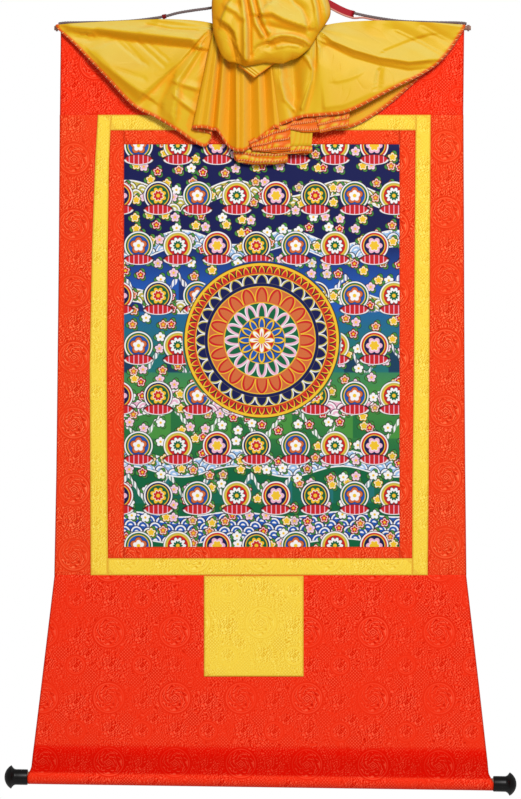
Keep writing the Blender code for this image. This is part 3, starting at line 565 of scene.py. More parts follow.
def line_between(line, low, high, start, end):
    """Where a grid line of a cut from low to high runs, at a height where the cut is from start to end."""
    if line - low <= EDGE_TURN:
        return start + (line - low)
    if high - line <= EDGE_TURN:
        return end - (high - line)
    return start + (line - low) / (high - low) * (end - start)


def ripple(across, down):
    """How far the hanging cloth stands off its plane: shallow waves that end at the rod and the roller."""
    held = ease(down, *WAVES_FROM) * (1 - ease(down, *WAVES_TO))
    loose = WAVES_ABOVE + (WAVES_BELOW - WAVES_ABOVE) * ease(down, *WAVES_GROW)
    return held * loose * sum(w.height * sin(across / w.across + down / w.down + w.start) for w in WAVES)


def turned_under(away):
    """How far a cut's edge turns back, at a distance from it."""
    return -EDGE_DEPTH * (1 - share_of(away, 0.0, EDGE_TURN)) ** 2


def cut(name, left, right, top, bottom, lift=0.0, lap=SEAM_LAP, figure=(0.0, 0.0), framed=True):
    """A flat cut of cloth between two edges, each a table column or a fixed place, hanging in its waves.

    The woven design has a roundel's middle where figure says. Its seams with another colour get a painted
    shade: all four where the cut is framed, or else the two upright ones.
    """

    def place(edge, down):
        """How far across an edge is at a height."""
        return table_at(EDGES, down, edge) if isinstance(edge, str) else edge

    downs = lines_between(top - lap, bottom + lap)
    lines = lines_between(place(left, top) - lap, place(right, top) + lap)
    low, high = lines[0], lines[-1]
    places, flat_places, seam_shade_places = [], [], []
    for line in lines:
        for down in downs:
            across = line_between(line, low, high, place(left, down) - lap, place(right, down) + lap)
            beside = min(line - low, high - line)
            away = min(beside, down - downs[0], downs[-1] - down)
            places.append(point(across, down, lift + ripple(across, down) + turned_under(away)))
            flat_places.append((across - figure[0], down - figure[1]))
            # The distance from the seams, for the painted shade along them
            seam_shade_places.append((0.0, away if framed else beside))
    piece = mesh_piece(name, places, grid_faces(len(lines), len(downs)), flat_places, seam_shade_places)
    return thicken(piece, BROCADE_THICK)


# The panels of the mount


def top_hem_section():
    """The top panel's section as (out, down): its tail behind, round the rod, and down to the seam."""
    section = list(HEM_TAIL)
    for degrees in range(*HEM_TURN, 10):
        angle = radians(degrees)
        section.append((-HEM_RADIUS * sin(angle), HEM_RADIUS * cos(angle)))
    return section + HEM_FRONT + [(0.0, down) for down in lines_between(HEM_FRONT_TO, TOP_SEAM + SEAM_LAP)]


def roller_sleeve_section():
    """The bottom panel's section as (out, down): down the front, back to the crease, round the dowel."""
    section = [(0.0, down) for down in lines_between(BOTTOM_SEAM - SEAM_LAP, BEND_FROM)]
    depth = ROLLER_OUT + SLEEVE_RADIUS * sin(radians(SLEEVE_TURN[0]))
    for share, back in spline(BEND, [0, 4] + [3] * 6)[1:]:
        section.append((depth * back, BEND_FROM + share * (CREASE_DOWN - BEND_FROM)))
    for degrees in range(*SLEEVE_TURN, 6):
        angle = radians(degrees)
        section.append((ROLLER_OUT + SLEEVE_RADIUS * sin(angle), ROLLER_DOWN - SLEEVE_RADIUS * cos(angle)))
    return section


def sag(across, down):
    """How much lower the askew roller pulls the cloth at a place."""
    return ROLLER_TILT * across * share_of(down, SAG_FROM, CREASE_DOWN) ** 2


def section_panel(name, section, edges, seam_row, figure):
    """A panel with one section all across, between the cloth's edges in a table."""

    def sides(down):
        """How far across the panel's two edges are at a height."""
        return table_at(edges, down, "cloth_left"), table_at(edges, down, "cloth_right")

    lengths = walked_lengths(section)
    seam_down, seam_length = section[seam_row][1], lengths[seam_row]
    left, right = sides(seam_down)
    lines = lines_between(left, right, PANEL_GRID)
    places, flat_places, seam_shade_places = [], [], []
    for line in lines:
        beside = min(line - left, right - line)
        for (out, down), length in zip(section, lengths):
            across = line_between(line, left, right, *sides(down))
            lifted = out + ripple(across, down) + turned_under(min(beside, abs(length - seam_length)))
            places.append(point(across, down + sag(across, down), lifted))
            flat_places.append((across - figure[0], seam_down + length - seam_length - figure[1]))
            # The distance from the upright edges, for the painted shade along them
            seam_shade_places.append((0.0, beside))
    piece = mesh_piece(name, places, grid_faces(len(lines), len(section)), flat_places, seam_shade_places)
    return thicken(piece, BROCADE_THICK)


def mount_panels(red, strip_red):
    """The four red cuts of brocade around the frame, from the top rod to the roller."""
    top, bottom = top_hem_section(), roller_sleeve_section()
    upper = section_panel("cloth_top_panel", top, EDGES, len(top) - 1, TOP_FIGURE)
    dress(upper, "red_brocade", red, "top_panel")
    for node, left, right, figure in (
        ("side_left", "cloth_left", "band_left", LEFT_FIGURE),
        ("side_right", "band_right", "cloth_right", RIGHT_FIGURE),
    ):
        side = cut("cloth_" + node, left, right, TOP_SEAM, BOTTOM_SEAM, figure=figure, framed=False)
        dress(side, "red_brocade", strip_red, node)
    lower = section_panel("cloth_bottom_panel", bottom, FLARES, 0, PANEL_FIGURE)
    dress(lower, "red_brocade", red, "bottom_panel")


def frame_bands(yellow, red):
    """The yellow strips of the frame and the red ones inside them."""
    left, right, top, bottom = PAINTING
    bands = [
        ("band_left", "band_left", "inner_left", TOP_SEAM, BOTTOM_SEAM),
        ("band_right", "inner_right", "band_right", TOP_SEAM, BOTTOM_SEAM),
        ("band_top", "inner_left", "inner_right", *BAND_TOP),
        ("band_bottom", "inner_left", "inner_right", *BAND_BOTTOM),
    ]
    for node, *edges in bands:
        dress(cut("cloth_" + node, *edges, lift=BAND_LIFT), "yellow_brocade", yellow, node)
    strips = [
        ("inner_left", "inner_left", left, BAND_TOP[1], BAND_BOTTOM[0]),
        ("inner_right", right, "inner_right", BAND_TOP[1], BAND_BOTTOM[0]),
        ("inner_top", left, right, BAND_TOP[1], top),
        ("inner_bottom", left, right, bottom, BAND_BOTTOM[0]),
    ]
    for node, *edges in strips:
        dress(cut("cloth_" + node, *edges), "red_brocade", red, node)


def painting_and_patch(painted, canvas, yellow):
    """The painted cloth, with bare canvas behind, and the square on the bottom panel."""
    picture = cut("painted_picture", *PAINTING, PAINTING_LIFT, PAINTING_LAP)
    dress(picture, "painted_cloth", painted, "painting")
    picture.data.materials.append(canvas)
    picture.modifiers["Thickness"].material_offset = 1
    patch = cut("cloth_door_patch", *DOOR_PATCH, PATCH_LIFT, 0.0)
    dress(patch, "yellow_brocade", yellow, "door_patch")


# The veil


def crease_rise(part, across, down):
    """How far the creases of a part of the veil lift it at a place."""
    rise = 0.0
    for crease in CREASES.get(part, ()):
        share = 1.0
        for start, end in zip(crease.line, crease.line[1:]):
            run = (end[0] - start[0], end[1] - start[1])
            length = hypot(*run)
            ahead = ((across - start[0]) * run[0] + (down - start[1]) * run[1]) / length**2
            held = min(1.0, max(0.0, ahead))
            away = (across - start[0] - held * run[0], down - start[1] - held * run[1])
            width = crease.right if run[0] * away[1] - run[1] * away[0] > 0 else crease.left
            share = min(share, hypot(*away) / width)
        rise += crease.rise * (1 - share) ** CREASE_CURVE
    return rise


def least_out(down):
    """How far out the veil's middle stays at least, in front of the top hem and then of the mount below."""
    return VEIL_OFF_HEM + share_of(down, OFF_HEM_TO, OFF_PANEL_FROM) * (VEIL_OFF_PANEL - VEIL_OFF_HEM)


def sharp_pleat(i, steps, go, ho):
    """How far out a column runs at the gather and the hem, with narrow ridges and broad troughs."""
    fold = 0
    while fold < len(steps) - 1 and i >= steps[fold]:
        i -= steps[fold]
        fold += 1
    if fold == len(FOLDS) - 1:
        return go, ho
    share = i / steps[fold]
    start, end = FOLDS[fold], FOLDS[fold + 1]
    if "trough" in start.name and "ridge" in end.name:
        start, end, share = end, start, 1 - share
    if not ("ridge" in start.name and "trough" in end.name):
        return go, ho
    fallen = 1 - (1 - share) ** PLEAT_SHARPNESS
    return start.go + fallen * (end.go - start.go), start.ho + fallen * (end.ho - start.ho)


def fan_columns():
    """The veil below the gather, one list of (across, down, out) per column, from the gather to the hem."""
    rows = [fold[2:] for fold in FOLDS]
    steps = [FINER * fold.steps for fold in FOLDS]
    names = [fold.name for fold in FOLDS for _ in range(FINER * fold.steps)]
    left_end, pocket_from = names.index("left turn"), names.index("right under edge")
    right_from = names.index("right front lower")
    columns = []
    for i, (gx, gd, go, hx, hd, ho, bx, bd, bo) in enumerate(spline(rows, steps)):
        part = "left" if i < left_end else ""
        if i > pocket_from:
            part = "right" if i > right_from else "pocket"
        go, ho = sharp_pleat(i, steps, go, ho)
        column = []
        for j in range(FAN_ROWS + 1):
            share = j / FAN_ROWS
            bow = sin(pi * share**BOW_SKEW)
            across = gx + share * (hx - gx) + bow * bx
            down = gd + share * (hd - gd) + bow * bd
            out = go + share * (ho - go) + bow * bo
            fade = min(1.0, CREASE_FADE_IN * share, CREASE_FADE_OUT * (1 - share) + CREASE_AT_HEM)
            out += fade * crease_rise(part, across, down)
            column.append((across, down, max(out, least_out(down))))
        columns.append(column)
    pucker_hem(columns)
    return columns, names


def uneven_wave(place, wave, start=0.0):
    """A wave from -1 to 1, longer in some places than in others."""
    return sin(place / wave.length + wave.sway * sin(place / wave.sway_length) + start)


def pucker_hem(columns):
    """Draws the stitched hem into small uneven waves."""
    along = walked_lengths([column[-1] for column in columns])
    for column, side in zip(columns, along):
        lengths = walked_lengths(column)
        short_wave = uneven_wave(side, PUCKER_SHORT)
        long_wave = sin(side / PUCKER_LONG + PUCKER_LONG_START)
        wave = PUCKER_HEIGHT * (PUCKER_SHARES[0] * short_wave + PUCKER_SHARES[1] * long_wave)
        for j, (across, down, out) in enumerate(column):
            near = max(0.0, 1 - (lengths[-1] - lengths[j]) / PUCKER_REACH)
            column[j] = (across, down, max(out + wave * near * near, least_out(down) - PUCKER_SPARE))


def flap_rows(first_row):
    """The puff's rows of (across, down, out) above the gather's own row, each as long as that one."""
    stations = spline([s[1:] for s in STATIONS], [STATION_STEPS] * len(STATIONS))
    count = len(first_row)
    rows = []
    for j, (left, right, middle_down, face_out, side_out, drop) in enumerate(stations[1:], 1):
        blend = min(1.0, j / (len(stations) - 1) / GATHER_BLEND)
        station = j / STATION_STEPS
        front = ease(station, FRONT_STATIONS[0] - 1, FRONT_STATIONS[0])
        front *= 1 - ease(station, FRONT_STATIONS[1], FRONT_STATIONS[1] + 1)
        lip = ease(station, LIP_FROM, LIP_FULL)
        row = []
        for i, gathered in enumerate(first_row):
            turn = 2 * i / (count - 1) - 1
            spread = EVEN_SHARE * turn + (1 - EVEN_SHARE) * sin(turn * pi / 2)
            crown = sqrt(max(0.0, 1 - abs(spread) ** 3))
            across = (left + right) / 2 + spread * (right - left) / 2
            out = side_out + crown * (face_out - side_out)
            down = middle_down + (1 - crown) * drop + lip * table_at(LIP, across, "lower")
            if front:
                out += front * crown * crease_rise("puff", across, down)
            made = (across, down, out)
            row.append(tuple(a + blend * (b - a) for a, b in zip(gathered, made)))
        rows.append(row)
    return rows


def walked_lengths(points):
    """How far along a line of points each one lies."""
    lengths = [0.0]
    for before, after in zip(points, points[1:]):
        lengths.append(lengths[-1] + sqrt(sum((a - b) ** 2 for a, b in zip(before, after))))
    return lengths


def fold_depths(lines):
    """How far each point of (across, down, out) lies behind the highest cloth near it, which sets the
    painted shade in the silk's folds.
    """
    highest = {}
    for line in lines:
        for across, down, out in line:
            cell = (round(across / DEPTH_CELL), round(down / DEPTH_CELL))
            highest[cell] = max(out, highest.get(cell, out))
    depths = []
    for line in lines:
        for across, down, out in line:
            i, j = round(across / DEPTH_CELL), round(down / DEPTH_CELL)
            near = [
                highest.get((i + a, j + b), out) - DEPTH_FALL * (abs(a) + abs(b))
                for a in range(-DEPTH_REACH, DEPTH_REACH + 1)
                for b in (-1, 0, 1)
            ]
            depths.append(max(0.0, max(near) - out))
    return depths


def veil(orange, pale):
    """The veil, one cloth: a fan of folds below its gather, and a puff turned over in front of it."""
    columns, names = fan_columns()
    rows = FAN_ROWS + 1
    places = [p for column in columns for p in column]
    along = walked_lengths([column[2 * FAN_ROWS // 3] for column in columns])
    hem_along = walked_lengths([column[-1] for column in columns])
    flat_places, hem_places = [], []
    for column, side, hem_side in zip(columns, along, hem_along):
        lengths = walked_lengths(column)
        flat_places += [(side, length) for length in lengths]
        hem_places += [(hem_side, lengths[-1] - length) for length in lengths]
    depths = fold_depths(columns)
    faces = grid_faces(len(columns), rows)
    carried = range(names.index(FLAP_FROM), names.index(FLAP_TO) + 1)
    below = [i * rows for i in carried]
    flap = flap_rows([columns[i][0] for i in carried])
    up = walked_lengths([row[len(row) // 2] for row in flap])
    depths += fold_depths(flap)
    for row, length in zip(flap, up):
        above = range(len(places), len(places) + len(row))
        places += row
        flat_places += [(side, -length) for side in walked_lengths(row)]
        hem_places += [(0.0, FAR_OFF_HEM + length)] * len(row)
        faces += [(below[k], below[k + 1], above[k + 1], above[k]) for k in range(len(row) - 1)]
        below = above
    piece = mesh_piece("silk_veil", [point(*p) for p in places], faces, flat_places, hem_places, depths)
    thicken(piece, SILK_THICK)
    # The skirt's span, over which the silk gets a painted shade of deeper orange
    skirt = along[names.index("front fold edge")], along[names.index("right under edge")]
    silk = satin("yellow_silk", SILK_SHADES, skirt)
    threads = {"orange": [], "pale": []}
    overlock(columns, threads)
    stitched = [hem_band(band, silk, threads) for band in HEM_BANDS]
    stitched.append(tongue(silk))
    for shade, finish in (("orange", orange), ("pale", pale)):
        forms = mesh_piece("overlock_" + shade, *merged(threads[shade]))
        stitched.append(dress(forms, "crimson", finish))
    dress(piece, "yellow_silk", silk, "veil")


def add_stitch(threads, count, line):
    """Adds a stitch along a line: every fourth one is pale."""
    shade = "pale" if count % PALE_EVERY == PALE_EVERY - 1 else "orange"
    threads[shade].append(tube_form(line, STITCH_RADIUS * MM, STITCH_SIDES))


def overlock(columns, threads):
    """The stitches over the veil's hem, and the needle's line inside them."""
    hem = [point(*column[-1]) for column in columns]
    inner = [point(*column[-3]) for column in columns]
    needle = []
    step = STITCH_PITCH * MM
    spare, count = 0.0, 0
    for i in range(len(hem) - 1):
        run = hem[i + 1] - hem[i]
        if run.length < 1e-7:
            continue
        along = run.normalized()
        inward = ((inner[i] - hem[i]) + (inner[i + 1] - hem[i + 1])).normalized()
        face = inward.cross(run).normalized() * STITCH_OFF * MM
        slant = along * step * STITCH_LEAN
        deep = inward * STITCH_DEPTH * MM
        lip = inward * -STITCH_OFF * MM
        while spare <= run.length:
            edge = hem[i] + along * spare
            crown = edge + deep * STITCH_CROWN_AT
            line = [edge + deep + slant + face, crown + face * STITCH_CROWN, edge + lip]
            line += [crown - face, edge + deep - slant - face]
            add_stitch(threads, count, line)
            needle.append(edge + deep + face)
            count += 1
            spare += step
        spare -= run.length
    threads["orange"].append(tube_form(needle, STITCH_RADIUS * MM, STITCH_SIDES))


def along_line(line, share):
    """The place at a share of the way through a list of evenly spread places."""
    where = share * (len(line) - 1)
    i = min(int(where), len(line) - 2)
    return tuple(a + (where - i) * (b - a) for a, b in zip(line[i], line[i + 1]))


def hem_band(band, silk, threads):
    """A crumpled band of doubled hem below the skirt, in rolls, with stitches along each one's foot."""
    rows = ROLL_ROWS * max(1, band.rows) + 1
    places, flat_places, hem_places, depths, grid = [], [], [], [], []
    for i in range(BAND_COLUMNS):
        share = i / (BAND_COLUMNS - 1)
        top, bottom = along_line(band.top, share), along_line(band.bottom, share)
        column = []
        for j in range(rows):
            fall = j / (rows - 1)
            across, down = (a + fall * (b - a) for a, b in zip(top, bottom))
            slip = ROLL_SLIP * sin(across / ROLL_SLIP_LENGTH + band.out)
            roll = abs(sin(pi * (fall * band.rows + ROLL_SLIP_SHARE * slip))) if band.rows else 1.0
            pucker = abs(uneven_wave(across, ROLL_PUCKER_WAVE, ROLL_PUCKER_TURN * fall))
            raised = ROLL_HEIGHT * roll + ROLL_PUCKER * pucker * roll - ROLL_SUNK
            down += ROLL_SWAY * band.crumple * sin(across / ROLL_SWAY_LENGTH + band.out)
            column.append((across, down, band.out + fall * band.lean + band.crumple * raised))
            flat_places.append((across, down))
            # The hem's orange and the fold depth lay painted shade in the hollows between rolls and puckers
            hem_places.append((across, band.near + band.spread * roll * pucker))
            depths.append(ROLL_SHADE_DEPTH * (1 - roll * pucker))
        places += [point(*p) for p in column]
        grid.append(column)
    faces = grid_faces(BAND_COLUMNS, rows)
    piece = mesh_piece("hem_" + band.name, places, faces, flat_places, hem_places, depths)
    thicken(piece, SILK_THICK)
    half = Vector((0, 0, ROLL_STITCH_HALF * MM))
    front = Vector((0, -STITCH_OFF * MM, 0))
    for row in range(1, band.rows + 1):
        line = [point(*column[ROLL_ROWS * row - 2]) for column in grid]
        for i in range(BAND_COLUMNS - 1):
            slant = (line[i + 1] - line[i]).normalized() * ROLL_STITCH_SLANT * MM
            crown = line[i] + front * ROLL_STITCH_CROWN
            add_stitch(threads, i, [line[i] - half - slant + front, crown, line[i] + half + slant + front])
    return dress(piece, "yellow_silk", silk)


def tongue(silk):
    """The small folded corner that hangs from under the puff's lip, pleated along its lower left edge."""
    columns, rows = TONGUE_GRID
    (corner_across, corner_down), (tip_across, tip_down) = TONGUE_CORNER, TONGUE_TIP
    left_top, right_top = TONGUE_TOP_ENDS
    edge = Vector((tip_across - corner_across, tip_down - corner_down)).normalized()
    corner_fall = (corner_down - TONGUE_TOP) / (tip_down - TONGUE_TOP)
    right_edge = Vector((tip_across - right_top, tip_down - TONGUE_TOP)).normalized()
    places, flat_places, hem_places, depths = [], [], [], []
    for i in range(columns):
        share = i / (columns - 1)
        for j in range(rows):
            fall = j / (rows - 1)
            down = TONGUE_TOP + fall * (tip_down - TONGUE_TOP)
            if fall < corner_fall:
                left = left_top + fall / corner_fall * (corner_across - left_top)
            else:
                left = corner_across + (down - corner_down) * edge.x / edge.y
            right = right_top + fall * (tip_across + TONGUE_TIP_WIDTH - right_top)
            across = left + share * (right - left)
            inward = (across - corner_across) * edge.y - (down - corner_down) * edge.x
            pleated = 1 - ease(inward, TONGUE_PLEATED, TONGUE_PLEATED + 1)
            pleat = abs(sin(pi * inward / TONGUE_PLEAT)) * pleated
            belly = TONGUE_BELLY * sin(pi * share) * (1 - fall)
            places.append(point(across, down, TONGUE_OUT + TONGUE_PLEAT_HEIGHT * pleat + belly))
            flat_places.append((across, down))
            hem_places.append((0.0, TONGUE_EDGE_NEAR + min(inward, (right - across) * right_edge.y)))
            # The fold depth lays painted shade in the pleats' valleys
            depths.append(TONGUE_SHADE_DEPTH * (1 - pleat) * pleated)
    piece = mesh_piece("silk_tongue", places, grid_faces(columns, rows), flat_places, hem_places, depths)
    thicken(piece, SILK_THICK)
    return dress(piece, "yellow_silk", silk)


# Cords, ties and the ribbon


def ring_faces(rings, sides):
    """Faces along a tube whose points run round each ring."""
    return [
        (i * sides + k, i * sides + (k + 1) % sides, (i + 1) * sides + (k + 1) % sides, (i + 1) * sides + k)
        for i in range(rings - 1)
        for k in range(sides)
    ]


def tube_form(line, radius, sides, lobes=0, twist=0.0):
    """The points and faces of a tube along a line, ridged like twisted strands by its lobes and twist."""
    places = []
    side = Vector((0.1, 0, 1))
    walked = 0.0
    for i, place in enumerate(line):
        ahead, behind = line[min(i + 1, len(line) - 1)], line[max(i - 1, 0)]
        along = (ahead - behind).normalized()
        side = (side - along * side.dot(along)).normalized()
        other = along.cross(side)
        if i:
            walked += (place - line[i - 1]).length
        for k in range(sides):
            angle = 2 * pi * k / sides
            ridge = abs(sin(lobes * (angle - twist * walked) / 2)) if lobes else 1.0
            length = radius * (1.0 - STRAND_GROOVE * (1 - ridge) ** 1.5)
            places.append(place + (side * cos(angle) + other * sin(angle)) * length)
    last = (len(line) - 1) * sides
    ends = [tuple(reversed(range(sides))), tuple(range(last, last + sides))]
    return places, ring_faces(len(line), sides) + ends


def merged(forms):
    """The points and faces of several forms as one."""
    places, faces = [], []
    for more_places, more_faces in forms:
        start = len(places)
        places += more_places
        faces += [tuple(start + i for i in face) for face in more_faces]
    return places, faces


def cord_curve():
    """The cord's middle line, as (across, down, out)."""
    return [Vector(p) for p in spline(CORD_ROUTE, [CORD_STEPS] * len(CORD_ROUTE))]


def cord_at(across):
    """The cord's place and direction where it crosses a given width."""
    line = cord_curve()
    for before, after in zip(line, line[1:]):
        if before.x <= across <= after.x:
            return before, (after - before).normalized()
    raise ValueError("the cord doesn't cross there")


def cord_side(across):
    """The cord's middle where it crosses a given width, and the way square to it and downwards."""
    spot, along = cord_at(across)
    below = Vector((along.y, -along.x, 0)).normalized()
    return spot, below if below.y > 0 else -below


def hanging_cord(twisted):
    """The twisted cord over the nail, and the line that it follows."""
    line = [point(*p) for p in cord_curve()]
    form = tube_form(line, CORD_RADIUS * MM, CORD_SIDES, CORD_STRANDS, 2 * pi / (CORD_LAY * MM))
    return dress(mesh_piece("twisted_cord", *form), "cord_grey", twisted, "hanging_cord"), line


def winding(middle, axis, radius, thread, width):
    """Thread wound round an axis in even turns."""
    axis = axis.normalized()
    side = axis.cross(Vector((0, 1, 0))).normalized()
    other = axis.cross(side)
    turns = max(2, round(width / thread) - 1)
    line = []
    for k in range(turns * TURN_STEPS + 1):
        angle = 2 * pi * k / TURN_STEPS
        along = (k / (turns * TURN_STEPS) - 0.5) * (width - thread)
        outward = (side * cos(angle) + other * sin(angle)) * (radius + thread * 0.5)
        line.append(middle + (axis * along + outward) * MM)
    return tube_form(line, thread * MM / 2, THREAD_SIDES)


def ties(thread, lashing):
    """The crimson thread ties on the cord, with short free ends, and the cord's lashings on the rod."""
    made = []
    aside, out, fall = TIE_END_STEP
    for name, across in (("tie_left", TIE_LEFT_ACROSS), ("tie_right", TIE_RIGHT_ACROSS)):
        place, along = cord_at(across)
        middle = point(*place)
        axis = point(*(place + along)) - middle
        parts = [winding(middle, axis, CORD_RADIUS, TIE_THREAD, TIE_WIDTH)]
        for lean in TIE_END_LEANS:
            end = []
            for k in range(TIE_END_POINTS):
                place = Vector((lean * k * aside, -TIE_END_OUT - out * k, -CORD_RADIUS - fall * k))
                end.append(middle + place * MM)
            parts.append(tube_form(end, TIE_END_RADIUS * MM, TIE_END_SIDES))
        made.append(dress(mesh_piece("thread_" + name, *merged(parts)), "crimson", thread, name))
    for name, end, way in (("rod_tie_left", ROD_ENDS[0], -1), ("rod_tie_right", ROD_ENDS[1], 1)):
        middle = point(end - way * (LASHING_INSET + LASHING_WIDTH / 2), 0, 0)
        wound = winding(middle, Vector((1, 0, 0)), LASHING_RADIUS, LASHING_THREAD, LASHING_WIDTH)
        dress(mesh_piece("lashing_" + name, *wound), "cord_grey", lashing, name)
    return made


def ribbon(crimson, pale_edge):
    """The ribbon over the cord's right half, and its pale corded edge, which runs on below the cord."""
    columns, rows = RIBBON_GRID
    start, end = RIBBON_ENDS
    places, flat_places, edge = [], [], []
    for i in range(columns):
        share = i / (columns - 1)
        across = start + share * (end - start)
        spot, below = cord_side(across)
        top = Vector((spot.x, spot.y, spot.z + CORD_RADIUS + RIBBON_OFF_CORD)) - below * RIBBON_ABOVE
        wave = RIBBON_WAVE * sin(9 * share)
        for k in range(rows):
            spot = top + below * (RIBBON_WIDTH + RIBBON_ABOVE) * k / (rows - 1)
            places.append(point(spot.x, spot.y, spot.z + wave * k / (rows - 1)))
            flat_places.append((across, RIBBON_WIDTH * k / (rows - 1)))
        edge.append(places[-1])
    piece = mesh_piece("crimson_ribbon", places, grid_faces(columns, rows), flat_places)
    thicken(piece, RIBBON_THICK)
    edge.reverse()
    for k in range(1, RIBBON_EDGE_STEPS + 1):
        share = k / RIBBON_EDGE_STEPS
        spot, below = cord_side(start + share * (RIBBON_EDGE_TO - start))
        spot += below * (RIBBON_WIDTH + (CORD_RADIUS + RIBBON_EDGE_RADIUS - RIBBON_WIDTH) * ease(k, 0, 10))
        edge.append(point(spot.x, spot.y, spot.z + CORD_RADIUS * (1 - share)))
    corded = mesh_piece("ribbon_edge", *tube_form(edge, RIBBON_EDGE_RADIUS * MM, RIBBON_EDGE_SIDES))
    dress(corded, "crimson", pale_edge)
    return dress(piece, "crimson", crimson, "ribbon")


# The knobs


def knob_profile():
    """A knob's half section: a straight neck, a flare, a rim and a domed end, with the dowel's socket."""
    socket = DOWEL_RADIUS + KNOB_GAP
    neck, rim, soft = KNOB_NECK_RADIUS, KNOB_RIM_RADIUS, KNOB_ROUNDING
    profile = [(KNOB_SOCKET, 0), (KNOB_SOCKET, socket), (0, socket)]
    for degrees in (0, 30, 60, 90):
        angle = radians(degrees)
        profile.append((soft * (1 - cos(angle)), neck - soft + soft * sin(angle)))
    for k in range(13):
        share = k / 12
        along = KNOB_NECK_LENGTH + share * (KNOB_RIM_AT - soft - KNOB_NECK_LENGTH)
        profile.append((along, neck + (rim - soft - neck) * share**2))
    profile += [(KNOB_RIM_AT + along, rim - lower) for along, lower in KNOB_RIM_FORM]
    dome = KNOB_LENGTH - KNOB_RIM_AT
    sphere = (rim**2 + dome**2) / (2 * dome)
    for k in range(1, 12):
        angle = (1 - k / 12) * asin(rim / sphere)
        profile.append((KNOB_LENGTH - sphere * (1 - cos(angle)), sphere * sin(angle)))
    return profile + [(KNOB_LENGTH, 0)]


def knobs(black):
    """The two turned knobs on the roller's ends."""
    middle = point(0, ROLLER_DOWN, ROLLER_OUT)
    along = Vector((cos(ROLLER_TILT), 0, -sin(ROLLER_TILT)))
    up = Vector((sin(ROLLER_TILT), 0, cos(ROLLER_TILT)))
    profile = knob_profile()
    for node, end, way in (("finial_left", SLEEVE_ENDS[0], -1), ("finial_right", SLEEVE_ENDS[1], 1)):
        places = []
        for outward, radius in profile:
            for k in range(KNOB_SIDES):
                angle = 2 * pi * k / KNOB_SIDES * way
                turn = up * cos(angle) + Vector((0, 1, 0)) * sin(angle)
                places.append(middle + (along * (end + way * (KNOB_GAP + outward)) + turn * radius) * MM)
        knob = mesh_piece("turned_" + node, places, ring_faces(len(profile), KNOB_SIDES))
        weld = knob.modifiers.new("Weld", "WELD")
        weld.merge_threshold = KNOB_WELD
        knob.data.set_sharp_from_angle(angle=radians(40))
        dress(knob, "black_lacquer", black, node)


# Materials


def look(red, green, blue):
    """A colour as it looks on a screen, from 0 to 255, as linear light."""
    linear = []
    for share in (red / 255, green / 255, blue / 255):
        linear.append(share / 12.92 if share <= 0.04045 else ((share + 0.055) / 1.055) ** 2.4)
    return tuple(linear)


def new_material(name, colour, roughness, specular=0.5):
    """A plain material, with its node tree and its shader."""
    made = bpy.data.materials.new(name)
    made.use_nodes = True
    shader = made.node_tree.nodes["Principled BSDF"]
    shader.inputs["Base Color"].default_value = (*colour, 1.0)
    shader.inputs["Roughness"].default_value = roughness
    shader.inputs["Specular IOR Level"].default_value = specular
    return made, made.node_tree, shader


def feed(tree, target, value):
    """Gives an input a number, a colour or another node's output."""
    if isinstance(value, Number):
        value = value.socket
    if isinstance(value, bpy.types.NodeSocket):
        tree.links.new(value, target)
    elif isinstance(value, tuple):
        target.default_value = (*value, 1.0)
    else:
        target.default_value = value


def add_node(tree, kind, inputs):
    """A node of a kind, with what goes into its named or numbered inputs."""
    node = tree.nodes.new("ShaderNode" + kind)
    for title, value in inputs.items():
        feed(tree, node.inputs[title], value)
    return node


class Number:
    """A number that a material's nodes work out, so that sums written with it add nodes."""

    def __init__(self, tree, socket):
        self.tree = tree
        self.socket = socket

    def math(self, operation, *others):
        """The number worked on by a Math node, with others if it takes them."""
        node = add_node(self.tree, "Math", dict(enumerate((self, *others))))
        node.operation = operation
        return Number(self.tree, node.outputs[0])

    __add__ = partialmethod(math, "ADD")
    __sub__ = partialmethod(math, "SUBTRACT")
    __mul__ = partialmethod(math, "MULTIPLY")
    __truediv__ = partialmethod(math, "DIVIDE")
    __abs__ = partialmethod(math, "ABSOLUTE")
    wave = partialmethod(math, "SINE")
    fraction = partialmethod(math, "FRACT")
    whole = partialmethod(math, "FLOOR")
    root = partialmethod(math, "SQRT")
    least = partialmethod(math, "MINIMUM")
    greatest = partialmethod(math, "MAXIMUM")

    def waves(self, pitch):
        """Waves from -1 to 1, one to each pitch."""
        return (self * (2 * pi / pitch)).wave()

    def below(self, edge=0.0, soft=0.3):
        """1 where the number is below an edge and 0 above it, with a soft step between."""
        return self.between((edge + soft, 0.0), (edge - soft, 1.0))

    def between(self, start, end):
        """The number carried over from one scale to another, held at both ends."""
        inputs = {"Value": self}
        inputs["From Min"], inputs["To Min"] = start
        inputs["From Max"], inputs["To Max"] = end
        return Number(self.tree, add_node(self.tree, "MapRange", inputs).outputs["Result"])

    def rest(self):
        """What is left of 1."""
        return self * -1.0 + 1.0

    def line(self, middle, width, soft=0.3):
        """1 along a line where the number is near a middle value."""
        return abs(self - middle).below(width / 2, soft)

    def cell(self, pitch, shift=0.0):
        """The place within an even row of cells, from minus to plus half the pitch."""
        return (((self + shift) / pitch + 0.5).fraction() - 0.5) * pitch


def reach(a, b):
    """How far a place is from the origin."""
    return (a * a + b * b).root()


def turn_of(a, b):
    """The place's direction from the origin, in turns from -0.5 to 0.5."""
    return a.math("ARCTAN2", b) / (2 * pi)


def cloth_map(tree, title=UV_NAME):
    """The place on the flat cloth, or along and off its hem, in millimetres."""
    mapped = tree.nodes.new("ShaderNodeUVMap")
    mapped.uv_map = title
    parts = add_node(tree, "SeparateXYZ", {"Vector": mapped.outputs["UV"]})
    return Number(tree, parts.outputs["X"]) / MM, Number(tree, parts.outputs["Y"]) / MM


def joined_place(tree, a, b):
    """A place from two numbers."""
    return add_node(tree, "CombineXYZ", {"X": a, "Y": b}).outputs["Vector"]


